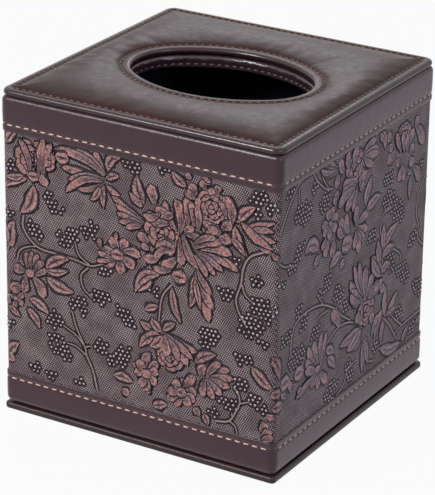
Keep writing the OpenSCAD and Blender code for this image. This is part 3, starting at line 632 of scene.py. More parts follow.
# stems: width, then points u, z
STEMS = [
    (0.85, [(-54.5, 89.5), (-54.5, 83.5), (-48, 77), (-37.5, 76), (-29, 75.5), (-22, 74.5), (-15.5, 77)]),
    (0.7, [(-22, 74.5), (-27.5, 78), (-29.5, 83.5)]),
    (0.7, [(-23, 73.5), (-26.5, 69.5), (-25.5, 64), (-21, 60.5)]),
    (0.7, [(-58, 69), (-56.5, 73.5), (-52.5, 76), (-48, 77)]),
    (0.7, [(-64, 67), (-62.5, 73), (-60.5, 76.5)]),
    (0.9, [(58.5, 99), (52, 95.5), (49, 90), (48, 83), (46, 76.5), (47, 71.5), (50.5, 66)]),
    (0.7, [(48.5, 83), (50, 79), (54, 76)]),
    (0.8, [(16.5, 75.5), (12, 69), (10.5, 58)]),
    (0.9, [(44, 108.5), (47, 109), (52, 107), (57, 104), (59, 100.5)]),
    (0.85, [(-19, 20), (-21, 28), (-24, 34), (-25, 38), (-29, 45.5), (-31, 52)]),
    (0.7, [(-24, 34), (-29, 37), (-33.5, 37.5)]),
    (0.7, [(-25, 38), (-29, 42), (-35.5, 45)]),
    (0.7, [(-24.5, 38), (-22, 39)]),
    (0.85, [(37.5, 21), (43.5, 22.5), (46.5, 27), (48.5, 32), (47.5, 36), (45.5, 38)]),
    (0.7, [(48.5, 31.5), (53, 33.5)]),
    (0.7, [(44, 22.5), (46.5, 21), (47.5, 18)]),
    (0.7, [(45, 25), (45, 26.5)]),
    (0.85, [(64.5, 106.5), (69.5, 114.5), (74.5, 120), (80, 124), (89.5, 124.5)]),
    (0.7, [(79, 121.5), (78.5, 117), (79.5, 114.5)]),
    (0.7, [(90, 124), (93.5, 119.5), (100.5, 114), (105.5, 112.5)]),
    (0.7, [(95.5, 124), (98.5, 118.5), (102.5, 113.5)]),
    (0.85, [(188.5, 90.5), (183.5, 84.5), (182, 76), (184.5, 70), (184.5, 64), (192, 57)]),
    (0.7, [(149, 77.5), (150.5, 85.5), (158.5, 86.5)]),
    (0.7, [(161.5, 67), (168, 62.5), (169.5, 58)]),
    (0.7, [(153.5, 60.5), (152, 65.5), (152.5, 70.5)]),
    (0.85, [(75.5, 51.5), (75.5, 58), (78.5, 64), (87, 66), (99.5, 64.5), (112, 58), (117.5, 53),
            (124.5, 48.5)]),
    (0.7, [(100.5, 64.5), (98.5, 67.5)]),
    (0.7, [(105, 60), (99, 60), (96.5, 58.5)]),
    (0.7, [(112.5, 57.5), (113.5, 60)]),
    (0.7, [(120.5, 51.5), (121.5, 53)]),
    (0.85, [(105.5, 45.5), (113.5, 48.5), (122.5, 48), (134.5, 43)]),
    (0.8, [(156, 37), (162.5, 30.5), (168, 23)]),
    (0.85, [(194.5, 28.5), (184, 28), (173, 27.5), (166, 26)]),
    (0.7, [(173, 27.5), (166.5, 32.5), (162, 36.5)]),
    (0.85, [(113.5, 17), (121, 20.5), (124, 26), (131.5, 27.5)]),
    (0.7, [(141.5, 23), (147.5, 21), (151, 24.5), (161, 23.5)]),
    (0.6, [(65, 94.5), (69, 92), (75.5, 90.5)]),
]
# berry clusters: u, z, count, slope of the cluster
BERRIES = [
    (-40.5, 98, 16, -1), (-49, 84, 13, -1), (-32.5, 84.5, 16, 1), (-22, 90, 16, 0), (-14.5, 74.5, 9, 0),
    (-17, 62, 14, 0), (-27.5, 55.5, 15, 0), (-40, 46.5, 15, 0), (-2, 123, 16, 0), (13, 123.5, 8, 0),
    (-61.5, 110, 6, 0), (-62, 89.5, 6, 0), (55, 120.5, 12, 1), (56, 114, 5, 0), (45, 93, 4, 0),
    (55, 86, 7, 0), (41.5, 77, 9, 0), (57.5, 74.5, 22, -1), (52, 67.5, 14, 0), (-5, 56.5, 16, -1),
    (8.5, 70.5, 5, 0), (-62, 40, 5, 0), (-36, 84.5, 6, 0), (-38, 35.5, 28, -1), (-17.5, 39.5, 10, 0),
    (-8.5, 37, 24, 1), (-49.5, 22.5, 7, 0), (-41.5, 21.5, 5, 0), (-27.5, 21, 7, 0), (34, 58, 14, 0),
    (32.5, 54, 6, 0), (47.5, 40, 14, 0), (54.5, 34.5, 8, 0), (58.5, 31.5, 8, 0), (43.5, 30, 12, 0),
    (36, 24.5, 5, 0), (58, 74.5, 26, 0), (53, 65, 22, 1), (58.5, 60.5, 5, 0), (49.5, 50.5, 10, 0),
    (25.5, 13, 9, 0), (11, 11.5, 9, 0), (72.5, 122.5, 8, 0), (91.5, 117.5, 6, 0), (100, 109, 18, 1),
    (82.5, 110, 28, 0), (61.5, 117, 6, 0), (79.5, 93.5, 10, 1), (155, 100.5, 12, 0), (155, 91, 20, 0),
    (164, 83, 26, -1), (141, 79.5, 10, 0), (179, 65, 12, 1), (185.5, 98.5, 4, 0), (102, 71.5, 18, 1),
    (114, 64, 18, 0), (122, 56.5, 10, 0), (80, 68.5, 8, 0), (85.5, 63.5, 6, 0), (84.5, 60, 4, 0),
    (95, 54, 10, 1), (71, 60.5, 12, 0), (80, 49, 28, 0), (171, 53, 26, -1), (160, 63, 8, 0),
    (161.5, 57, 5, 0), (169.5, 34, 12, 0), (188, 40, 22, -1), (124, 28.5, 6, 0), (126.5, 22.5, 8, 0),
    (110.5, 22, 22, 0), (149, 26.5, 6, 0), (79.5, 93.5, 14, 1), (73.5, 90, 8, 0), (182.5, 23, 8, 1),
    (67, 85.5, 4, 0),
]

PETAL_PLACE, GROOVE_PLACE, STEM_PLACE, BERRY_PLACE, HALO_PLACE = range(5)   # in the relief's materials
RISE = 0.03             # height of a motif's middle over its edge
FIRST_LEVEL = 0.045     # height of the lowest motif's edge over the wrap
LEVEL_STEP = 0.04       # motifs that overlap lie at levels this far apart
TOP_LEVEL = 11
MOAT = 0.42             # width of the dark groove round a motif
GROOVE_DROP = 0.01      # how far the groove lies under the motif's edge
HALO = 1.0              # how far the pressed-smooth ground reaches round a motif
TUCK = -0.05            # the edges of grooves and pressed ground end inside the wrap
BERRY_R, BERRY_PITCH, BERRY_SIDES = 0.52, 2.1, 8
PEONY_RINGS = ((0.8, 7, 62, 0.42), (0.52, 5, 84, 0.36), (0.27, 3, 118, 0.26))
STRAIGHT = 2 * (WRAP_HALF - WRAP_R)
SIDE = STRAIGHT + math.pi / 2 * WRAP_R
REPEAT = 2 * SIDE


def turned(point, quarters):
    """A point, or arrays of points, turned about the middle by a number of quarter turns"""
    c, s = np.cos(quarters * math.pi / 2), np.sin(quarters * math.pi / 2)
    return point[0] * c - point[1] * s, point[0] * s + point[1] * c


def on_wrap(flat):
    """Flat points (u, z, height) to their places on the wrap"""
    u, z, h = flat.T
    run = (u + STRAIGHT / 2) % (4 * SIDE)
    face = np.floor(run / SIDE)
    along = run - face * SIDE
    turn = np.clip(along - STRAIGHT, 0, None) / WRAP_R
    x = np.minimum(along, STRAIGHT) - STRAIGHT / 2 + (WRAP_R + h) * np.sin(turn)
    y = WRAP_R - WRAP_HALF - (WRAP_R + h) * np.cos(turn)
    return np.stack([*turned((x, y), face), z], 1)


def curve_side(ahead):
    """Unit directions at right angles to the way ahead"""
    ahead = ahead / np.linalg.norm(ahead, axis=1)[:, None]
    return np.column_stack([-ahead[:, 1], ahead[:, 0]])


# Each shape gives a motif's width, as a share, at the place t from its base, 0, to its tip, 1.
def petal_width(t):
    rounded = np.sqrt(np.clip(1 - (np.clip(t - 0.62, 0, None) / 0.38) ** 2, 0, 1))
    return (0.3 + 0.7 * np.sin(np.clip(t / 0.62, 0, 1) * math.pi / 2)) * rounded


def leaf_width(t):
    return np.sin(math.pi * np.clip(t, 0, 1) ** 0.85) ** 0.85


def crescent_width(t):
    return np.sin(math.pi * np.clip(t, 0, 1)) ** 0.55


def oval_width(t):
    return np.sqrt(np.clip(1 - (2 * t - 1) ** 2, 0, 1))


class Motif:
    """One raised shape along a bent centre line, with its dark groove and the pressed ground round it"""

    def __init__(self, base, tip, width, bend, shape, kind):
        self.base, self.tip = np.array(base, float), np.array(tip, float)
        self.width, self.bend, self.shape, self.kind = width, bend, shape, kind
        self.length = float(np.hypot(*(self.tip - self.base))) or 0.1
        self.wave = 7.0 * float(self.base @ (0.37, 0.61))
        t = np.linspace(0.1, 0.9, 5)
        self.discs = np.column_stack([self.centre(t), width / 2 * np.maximum(shape(t), 0.2)])
        self.level = 0

    def centre(self, t):
        along = (self.tip - self.base)[None, :]
        across = np.array([[-along[0, 1], along[0, 0]]])
        t = np.asarray(t)[:, None]
        return self.base + along * t + across * self.bend * np.sin(math.pi * t)

    def strip(self, t, half, columns):
        """A grid over stations t. A column is (share of the half width, further out, height)."""
        centre = self.centre(t)
        across = curve_side(self.centre(t + 0.01) - self.centre(t - 0.01))
        grid = np.zeros((len(t), len(columns), 3))
        for k, (share, extra, height) in enumerate(columns):
            wavy = 1 + 0.09 * np.sin(11 * t + self.wave + 1.7 * np.sign(share)) * abs(share)
            grid[:, k, :2] = centre + across * (half * share * wavy + extra)[:, None]
            grid[:, k, 2] = height
        return grid

    def overlaps(self, other):
        gap = np.linalg.norm(self.discs[:, None, :2] - other.discs[None, :, :2], axis=2)
        return bool((gap < self.discs[:, None, 2] + other.discs[None, :, 2] + 0.1).any())

    def build(self, parts, tone, halo_height):
        edge_h = self.level * LEVEL_STEP + FIRST_LEVEL
        t = np.linspace(0, 1, 9)
        shares, rises = (-1, -0.6, 0, 0.6, 1), (0, 0.8 * RISE, RISE, 0.8 * RISE, 0)
        columns = [(share, 0, edge_h + rise) for share, rise in zip(shares, rises)]
        skin = self.strip(t, self.width / 2 * self.shape(t), columns)
        parts.grid(skin, PETAL_PLACE, tone, across=np.tile(shares, (len(t), 1)),
                   along=np.tile(t[:, None], (1, len(shares))), kind=self.kind)
        for reach, height, index in ((MOAT, edge_h - GROOVE_DROP, GROOVE_PLACE),
                                     (HALO, halo_height, HALO_PLACE)):
            end = reach / self.length
            t = np.concatenate([[-end], np.linspace(0, 1, 7), [1 + end]])
            half = self.width / 2 * self.shape(np.clip(t, 0, 1)) + reach
            half[[0, -1]] = 0.5 * reach
            strip = self.strip(t, half, [(-1, -0.1, TUCK), (-1, 0, height), (1, 0, height), (1, 0.1, TUCK)])
            strip[[0, -1], :, 2] = TUCK
            parts.grid(strip, index)


def cupped(u, z, radius, turn, span, width):
    """A petal that wraps round a flower's middle, over span degrees"""
    first, last = (math.radians(turn + side * span / 2) for side in (-1, 1))
    ends = [(u + radius * math.cos(a), z + radius * math.sin(a)) for a in (first, last)]
    return Motif(*ends, width, -math.tan(math.radians(span) / 4) / 2, crescent_width, PLAIN_KIND)


def peony(u, z, radius, turn, rng):
    """Rings of cupped petals, the inner ones overlapping the outer. A ring in PEONY_RINGS is
    its share of the radius, its petals, the degrees of each and a petal's share in width."""
    motifs = []
    for share, count, span, width in PEONY_RINGS:
        for k in range(count):
            angle = turn + 360 * (k + 0.5 * (count == 5)) / count + rng.uniform(-8, 8)
            reach = radius * share * rng.uniform(0.9, 1.08)
            motifs.append(cupped(u, z, reach, angle, span * rng.uniform(0.85, 1.1),
                                 radius * width * rng.uniform(0.9, 1.15)))
    motifs.append(bud(u, z, radius * 0.13))
    return motifs


def blossom(u, z, radius, count, turn, rng):
    """An open flower: petals round a button"""
    motifs = []
    middle = np.array([u, z])
    for k in range(int(count)):
        angle = math.radians(turn + 360 * k / count)
        way = radius * np.array([math.cos(angle), math.sin(angle)])
        motifs.append(Motif(middle + way * 0.22, middle + way, radius * 0.62, rng.uniform(-0.12, 0.12),
                            petal_width, PETAL_KIND))
    motifs.append(bud(u, z, radius * 0.2))
    return motifs


def bud(u, z, radius):
    return Motif((u - radius, z), (u + radius, z), 1.8 * radius, 0.0, oval_width,
                 LEAF_KIND if radius > 2.4 else PLAIN_KIND)


def all_motifs():
    rng = np.random.default_rng(11)
    motifs = []
    for m in PEONIES:
        motifs += peony(*m, rng)
    for m in BLOSSOMS:
        motifs += blossom(*m, rng)
    for table, shape, kind in ((PETALS, petal_width, PETAL_KIND), (LEAVES, leaf_width, LEAF_KIND),
                               (BLADES, leaf_width, PLAIN_KIND)):
        motifs += [Motif(m[:2], m[2:4], *m[4:], shape, kind) for m in table]
    motifs += [bud(*m) for m in BUDS]
    for i, motif in enumerate(motifs):
        under = [m.level for m in motifs[:i] if motif.overlaps(m)]
        motif.level = min(max(under) + 1, TOP_LEVEL) if under else 0
    return motifs


def curve_through(points, steps=6):
    """A Catmull-Rom curve through the points"""
    p = np.array(points, float)
    p = np.vstack([2 * p[0] - p[1], p, 2 * p[-1] - p[-2]])
    out = []
    for a, b, c, d in zip(p, p[1:], p[2:], p[3:]):
        for t in np.arange(steps) / steps:
            out.append(0.5 * (2 * b + (c - a) * t + (2 * a - 5 * b + 4 * c - d) * t ** 2
                              + (3 * b - a - 3 * c + d) * t ** 3))
    out.append(p[-2])
    return np.array(out)


def stem(parts, width, points):
    """A thin raised line, with a groove and pressed ground beside it. Columns as in Motif.strip."""
    line = curve_through(points)
    across = curve_side(np.gradient(line, axis=0))
    half = 0.51 * width * np.linspace(1.0, 0.7, len(line))[:, None]
    for index, columns in (
            (STEM_PLACE, ((-1, 0, 0.016), (-0.5, 0, 0.04), (0.5, 0, 0.04), (1, 0, 0.016))),
            (GROOVE_PLACE, ((-1, -0.36, 0.014), (1, 0.36, 0.014))),
            (HALO_PLACE, ((-1, -0.9, 0.002), (1, 0.9, 0.002)))):
        grid = np.zeros((len(line), len(columns), 3))
        for k, (share, extra, height) in enumerate(columns):
            grid[:, k, :2] = line + across * (half * share + extra)
            grid[:, k, 2] = height
        parts.grid(grid, index, across=np.tile([c[0] for c in columns], (len(line), 1)))


def berry_places(motifs, rng):
    """Clusters on a jittered triangular grid, clear of the motifs"""
    discs = np.concatenate([m.discs for m in motifs])
    places = []
    for u, z, count, slope in BERRIES:
        angle = math.radians(-38 if slope < 0 else 38 if slope > 0 else 0)
        stretch = 0.55 if slope else 0.8
        spots = []
        for i in range(-6, 7):
            for j in range(-6, 7):
                x = (i + 0.5 * (j % 2)) * BERRY_PITCH + rng.uniform(-0.3, 0.3)
                y = j * BERRY_PITCH * 0.87 + rng.uniform(-0.3, 0.3)
                along = x * math.cos(angle) + y * math.sin(angle)
                side = y * math.cos(angle) - x * math.sin(angle)
                spots.append((math.hypot(along * stretch, side) + rng.uniform(0, 0.8), x, y))
        for _, x, y in sorted(spots)[:int(count)]:
            gap = np.hypot(discs[:, 0] - u - x, discs[:, 1] - z - y) - discs[:, 2]
            apart = min((math.hypot(u + x - a, z + y - b) for a, b in places), default=BERRY_PITCH)
            if gap.min() > 0.7 and apart > 0.8 * BERRY_PITCH:
                places.append((u + x, z + y))
    return places


def berry(parts, u, z, rng):
    """A low dome, with a groove and pressed ground round it"""
    radius = BERRY_R * rng.uniform(0.85, 1.15)
    around = np.linspace(0, 2 * math.pi, BERRY_SIDES, endpoint=False)

    def circle(r, h):
        return np.column_stack([u + r * np.cos(around), z + r * np.sin(around), np.full(BERRY_SIDES, h)])

    top_share, top_h = 0.35, 0.3
    dome = [circle(radius * r, h) for r, h in ((1.0, 0.0), (0.75, 0.2), (top_share, top_h))]
    parts.grid(np.array(dome), BERRY_PLACE, rng.uniform(0.85, 1.15), wrap_cols=True)
    parts.fan(circle(radius * top_share, top_h), BERRY_PLACE, 1.1)
    parts.fan(circle(radius + MOAT, 0.013), GROOVE_PLACE, 0.9)
    parts.fan(circle(radius + HALO, rng.uniform(0.003, 0.009)), HALO_PLACE, 0.9)


def cut_flat(parts):
    """The flat pattern as a bmesh, cut at the bands, at the corners and at the seam on the back"""
    bm = bmesh.new()
    tone_layer, kind_layer = (bm.faces.layers.float.new(name) for name in ("tone", "kind"))
    across_layer, along_layer = (bm.verts.layers.float.new(name) for name in ("across", "along"))
    verts = [bm.verts.new(v) for v in np.concatenate(parts.verts)]
    for vert, across, along in zip(verts, np.concatenate(parts.across), np.concatenate(parts.along)):
        vert[across_layer], vert[along_layer] = across, along
    for face, index, tone, kind in zip(parts.faces, parts.indices, parts.tones, parts.kinds):
        made = bm.faces.new([verts[i] for i in face])
        made[tone_layer], made[kind_layer] = tone, kind
        made.material_index = index
        made.smooth = True

    def cut(place, normal, clear_outer=False):
        geometry = bm.verts[:] + bm.edges[:] + bm.faces[:]
        bmesh.ops.bisect_plane(bm, geom=geometry, dist=1e-5, plane_co=place, plane_no=normal,
                               clear_outer=clear_outer)

    inside = 0.02
    cut((0, LOWER_BAND_Z + inside, 0), (0, -1, 0), True)
    cut((0, UPPER_BAND_Z - inside, 0), (0, 1, 0), True)
    lows = min(v.co.x for v in bm.verts)
    highs = max(v.co.x for v in bm.verts)
    for corner in range(-4, 6):
        for share in (0.0, 1 / 3, 2 / 3, 1.0):
            u = STRAIGHT / 2 + corner * SIDE + share * (SIDE - STRAIGHT)
            if lows < u < highs:
                cut((u, 0, 0), (1, 0, 0))
    for turn in (-4 * SIDE, 0, 4 * SIDE):
        start = turn + 2 * SIDE - SEAM_X - SEAM_GAP
        end = start + SEAM_GAP
        if lows < start < highs:
            cut((start, 0, 0), (1, 0, 0))
            cut((end, 0, 0), (1, 0, 0))
            slit = [f for f in bm.faces if start < f.calc_center_median().x < end]
            bmesh.ops.delete(bm, geom=slit, context="FACES")
    return bm


def floral_pattern():
    """The whole relief, on all four sides, as one piece over the wrap"""
    motifs = all_motifs()
    rng = np.random.default_rng(5)
    berries = berry_places(motifs, rng)
    flat = Parts()
    for motif in motifs:
        motif.build(flat, rng.uniform(0.84, 1.12), rng.uniform(0.003, 0.011))
    for width, points in STEMS:
        stem(flat, width, points)
    for u, z in berries:
        berry(flat, u, z, rng)
    once = np.concatenate(flat.verts)
    flat.verts = [once, once + np.array([REPEAT, 0, 0])]
    flat.faces = flat.faces + [tuple(i + flat.count for i in f) for f in flat.faces]
    for values in (flat.indices, flat.tones, flat.kinds, flat.across, flat.along):
        values += values
    bm = cut_flat(flat)
    bm.verts.ensure_lookup_table()
    places = on_wrap(np.array([v.co[:] for v in bm.verts])) * MM
    for vert, place in zip(bm.verts, places):
        vert.co = place
    mesh = bpy.data.meshes.new("floral_relief")
    bm.to_mesh(mesh)
    bm.free()
    for material in (PETAL, GROOVE, STEM, BERRY, HALO_GROUND):      # in the order of their places
        mesh.materials.append(material)
    piece = linked("floral_relief", mesh)
    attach(piece, COVER)


# Bands and stitches
def frame_line(half, radius, straight_steps, corner_steps=6):
    """Points and outward directions round a rounded square, counter-clockwise from the slit
    in the back and round to it again"""
    run = half - radius
    places, out = [], []
    for side in range(4):
        for t in np.arange(straight_steps) / straight_steps:
            places.append(turned((half, -run + 2 * run * t), side))
            out.append(turned((1.0, 0.0), side))
        for a in np.arange(corner_steps) / corner_steps * math.pi / 2:
            places.append(turned((run + radius * math.cos(a), run + radius * math.sin(a)), side))
            out.append(turned((math.cos(a), math.sin(a)), side))
    places, out = np.array(places), np.array(out)
    back = (places[:, 1] > half - 0.01) & (places[:, 0] <= SEAM_X)
    start = int(np.argmax(back))
    slit = [(SEAM_X, half)], [(SEAM_X + SEAM_GAP, half)]
    places = np.vstack([slit[0], np.roll(places, -start, axis=0), slit[1]])
    out = np.vstack([[(0.0, 1.0)], np.roll(out, -start, axis=0), [(0.0, 1.0)]])
    return places, out


def frame_stitch_places(half, radius, pitch):
    """Middles and directions of the stitches round a rounded square"""
    run = 2 * (half - radius)
    count = int(run / pitch)
    spots = [(k + 0.5 - count / 2) * run / count for k in range(count)]
    return [(turned((half, spot), side), turned((0.0, 1.0), side)) for side in range(4) for spot in spots]


def mouth_stitch_places(grow, pitch):
    """Middles and directions of the stitches round the mouth, grown by that much"""
    stitches = []
    arcs = ((MOUTH_END_R, END_X, 0.0, 0.0, END_HALF_ANGLE),
            (LONG_R, 0.0, -LONG_Y, math.pi / 2, math.pi / 2 - END_HALF_ANGLE))
    for flip in (1, -1):
        for radius, cx, cy, middle, reach in arcs:
            radius += grow
            count = int(radius * 2 * reach / pitch)
            for k in range(count):
                angle = middle + reach * ((2 * k + 1) / count - 1)
                c, s = flip * math.cos(angle), flip * math.sin(angle)
                stitches.append(((flip * cx + radius * c, flip * cy + radius * s), (-s, c)))
    return stitches


def twisted_stitch(length, radius, rings=9, around=8):
    """A stitch along X in its own place, its two plies twisted, its ends dipping in. +Z is outwards."""
    points = np.zeros((rings, around, 3))
    for i, t in enumerate(np.linspace(-1, 1, rings)):
        fat = radius * (1 - abs(t) ** 4) ** 0.5 * (1.05 - 0.15 * t * t) + 0.03
        dip = -0.9 * radius * abs(t) ** 3
        for j in range(around):
            a = 2 * math.pi * j / around
            ply = 1 + 0.16 * math.cos(2 * (a - 2.6 * t))
            points[i, j] = (t * length / 2, fat * ply * math.cos(a), dip + fat * ply * math.sin(a))
    return points


def stitch_row(name, node, stitches, length, radius, z, outwards, material, sunk=0.0):
    """Stitches set along a row at height z. outwards gives a stitch's outward direction from
    the way it runs, and sunk is how deep its middle lies."""
    parts = Parts()
    shape = twisted_stitch(length, radius)
    rings = shape.shape[0]
    reach = np.abs(np.linspace(-1, 1, rings))
    for k, (middle, ahead) in enumerate(stitches):
        out = np.array(outwards(ahead))
        centre = np.array([*middle, z]) - out * sunk
        side = np.cross(out, (*ahead, 0.0))
        wobble = 0.05 * math.sin(k * 2.399)
        ahead3 = np.array([*ahead, 0.0]) + side * wobble
        points = centre + shape[..., :1] * ahead3 + shape[..., 1:2] * side + shape[..., 2:] * out
        # tone is how near a ring lies to the stitch's ends, where the thread's material paints shade
        for ring in range(rings - 1):
            parts.grid(points[ring:ring + 2], wrap_cols=True, tone=max(reach[ring:ring + 2]))
    worn(parts.piece(name, [material]), node)


def band(name, node, profile):
    """A leather band swept round the walls. profile is (inset, z, give), and give says how
    much the leather there yields to the stitches' pull."""
    run = 2 * (HALF - WALL_R)
    count = int(run / BAND_PITCH)
    places, out = frame_line(HALF, WALL_R, count * 4)
    along = np.concatenate([[0], np.cumsum(np.linalg.norm(np.diff(places, axis=0), axis=1))])
    grid = np.zeros((len(places), len(profile), 3))
    for i, (p, o) in enumerate(zip(places, out)):
        tangent = p[1] if abs(o[0]) > abs(o[1]) else p[0]
        phase = math.cos(2 * math.pi * (tangent / (run / count) + 0.5 * (count % 2)))
        for k, (inset, z, give) in enumerate(profile):
            inset += give * (0.05 + 0.07 * phase)
            sway = 0.03 * math.sin(along[i] * 0.11 + z * 0.3) * (give > 0)
            grid[i, k] = (*(p - o * inset), z + sway)
    parts = Parts()
    parts.grid(grid)
    worn(parts.piece(name, [PLAIN]), node)


def arc_profile(cx, cz, radius, start, end, steps):
    return [(HALF - cx - radius * math.cos(math.radians(a)), cz + radius * math.sin(math.radians(a)), 0.0)
            for a in np.linspace(start, end, steps)]


def groove_profile(z):
    """The stitched groove in a band, going up"""
    return [(inset, z + dz, give) for dz, inset, give in
            ((-1.6, 0.0, 0.2), (-0.75, 0.03, 0.6), (-0.4, 0.2, 1.0), (0.0, 0.34, 1.0), (0.4, 0.2, 1.0),
             (0.75, 0.03, 0.6), (1.6, 0.0, 0.2))]


TOP_TURN_IN = 9.0               # the upper band's leather goes that far in over the top board
WALL_IN, WALL_IN_Z = 6.4, 13.3  # the lower band's leather goes up the walls' inside, to that height


def turned_edge(z, sign):
    """The band's turned edge at z, going up. sign is 1 under a band and -1 over it."""
    edge = 0.35
    points = [(LEATHER_T + 0.1, z, 0.0), (edge, z, 0.0), (0.3 * edge, z + sign * 0.3 * edge, 0.0),
              (0.0, z + sign * edge, 0.0)]
    return points[::sign]


def bands():
    upper = turned_edge(UPPER_BAND_Z, 1) + groove_profile(UPPER_SEAM_Z)
    upper += [(-0.05, UPPER_BAND_Z + 8.0, 0.0), (-0.03, WALL_Z1 - 5.0, 0.0)]
    upper += arc_profile(HALF - TOP_ROLL_R, WALL_Z1 - TOP_ROLL_R, TOP_ROLL_R, 0, 90, 8)
    upper += [(TOP_TURN_IN, WALL_Z1, 0.0)]
    band("upper_band_skin", "upper_band", upper)
    lower = [(WALL_IN, WALL_IN_Z, 0.0), (WALL_IN, WALL_Z0 + 0.6, 0.0), (WALL_IN - 0.2, WALL_Z0 + 0.1, 0.0),
             (WALL_IN - 1.2, WALL_Z0, 0.0)]
    lower += arc_profile(HALF - BOTTOM_ROLL_R, WALL_Z0 + BOTTOM_ROLL_R, BOTTOM_ROLL_R, -90, 0, 8)
    lower += [(-0.04, LOWER_BAND_Z - 8.5, 0.0)]
    lower += groove_profile(LOWER_SEAM_Z) + turned_edge(LOWER_BAND_Z, -1)
    band("lower_band_skin", "lower_band", lower)


def collar():
    """The mouth's collar, padded above its stitches"""
    top, foot = WALL_Z1 - LEATHER_T, COLLAR_STITCH_Z - 1.5
    behind, points = 6.0, 480
    profile = ((behind, top), (0.5, top), (0.1, top - 0.15), (-0.25, top - 0.6), (-0.5, top - 1.3),
               (-0.45, top - 2.1), (-0.15, top - 2.9), (0.12, COLLAR_STITCH_Z),
               (-0.15, COLLAR_STITCH_Z - 0.7), (-0.1, foot + 0.3), (0.3, foot), (behind, foot))
    around = np.linspace(0, 2 * math.pi, points, endpoint=False)
    rings = []
    for grow, z in profile:
        sway = 0.12 * np.sin(17 * around + 0.9 * z) + 0.08 * np.sin(41 * around - 0.5 * z)
        ring = mouth_ring(grow, points) * (1 + sway[:, None] / 40 * (grow < -0.3))
        rings.append(np.column_stack([ring, z + 0.25 * sway * (foot < z < top)]))
    parts = Parts()
    parts.grid(np.array(rings)[:, ::-1], wrap_cols=True)
    worn(parts.piece("collar_skin", [COLLAR]), "mouth_collar")


def from_wall(ahead):
    return ahead[1], -ahead[0], 0.0


def from_collar(ahead):
    return -ahead[1], ahead[0], 0.0


def from_top(ahead):
    return 0.0, 0.0, 1.0


def stitches():
    walls = frame_stitch_places(HALF, WALL_R, BAND_PITCH)
    edge = frame_stitch_places(HALF - EDGE_SEAM, PANEL_R - EDGE_SEAM, PANEL_PITCH)
    mouth = mouth_stitch_places(MOUTH_SEAM, PANEL_PITCH)
    collar_row = mouth_stitch_places(0.0, PANEL_PITCH)
    for side, z in (("upper", UPPER_SEAM_Z), ("lower", LOWER_SEAM_Z)):
        stitch_row(side + "_band_threads", side + "_band_stitches", walls, BAND_STITCH_L + 0.3, 0.25, z,
                   from_wall, THREAD_LIGHT, sunk=0.08)
    for side, row in (("panel_edge", edge), ("mouth", mouth)):
        stitch_row(side + "_threads", side + "_stitches", row, PANEL_STITCH_L, 0.22, RIM_Z - 0.02,
                   from_top, THREAD_DARK)
    stitch_row("collar_threads", "collar_stitches", collar_row, PANEL_STITCH_L, 0.28, COLLAR_STITCH_Z,
               from_collar, THREAD_COLLAR)


# The padded top panel
RING = 320              # points round a ring of the padding while it is inflated
FINER = 3               # points round the finished panel for each of those
PAD_STEPS = 22          # rings between the two seams
CROWN_H = 1.6
FOLD_GAIN = 0.28        # how strongly the cloth's folds show
FOLD_LIMITS = -0.35, 0.45
CLOTH_STEPS = 20
CLOTH = {"quality": 6, "mass": 0.2, "tension_stiffness": 40, "compression_stiffness": 30,
         "shear_stiffness": 20, "bending_stiffness": 6, "air_damping": 3,
         "uniform_pressure_force": 0.7, "shrink_min": -0.003}


def panel_ring(inset, count):
    """A ring of the panel's outline, from the middle of the right side counter-clockwise"""
    radius = max(PANEL_R - inset, 0.3)
    half = HALF - inset
    run = half - radius
    arc = math.pi / 2 * radius
    points = np.zeros((count, 2))
    for i in range(count):
        quarter, share = divmod(4 * i / count, 1)
        s = share * (2 * run + arc)
        if s < run:
            p = (half, s)
        elif s < run + arc:
            a = (s - run) / radius
            p = (run + radius * math.cos(a), run + radius * math.sin(a))
        else:
            p = (2 * run + arc - s, half)
        points[i] = turned(p, quarter)
    return points


def mouth_ring(grow, count):
    """A ring round the mouth, point for point beside panel_ring's"""
    end_r, long_r = MOUTH_END_R + grow, LONG_R + grow
    end_len, long_len = end_r * END_HALF_ANGLE, long_r * (math.pi / 2 - END_HALF_ANGLE)
    points = np.zeros((count, 2))
    for i in range(count):
        quarter, share = divmod(4 * i / count, 1)
        s = (1 - share if quarter % 2 else share) * (end_len + long_len)
        if s < end_len:
            a = s / end_r
            x, y = END_X + end_r * math.cos(a), end_r * math.sin(a)
        else:
            a = END_HALF_ANGLE + (s - end_len) / long_r
            x, y = long_r * math.cos(a), long_r * math.sin(a) - LONG_Y
        points[i] = (x if quarter in (0, 3) else -x, y if quarter < 2 else -y)
    return points


def padding_rings():
    """The padding between its two seams, before it is inflated"""
    outer = panel_ring(EDGE_SEAM + 0.8, RING)
    inner = mouth_ring(MOUTH_SEAM + 0.8, RING)
    rings = np.zeros((PAD_STEPS + 1, RING, 3))
    for k in range(PAD_STEPS + 1):
        t = k / PAD_STEPS
        rings[k, :, :2] = outer * (1 - t) + inner * t
        rings[k, :, 2] = RIM_Z + 0.35 * CROWN_H * math.sin(math.pi * t) ** 0.7
    return rings


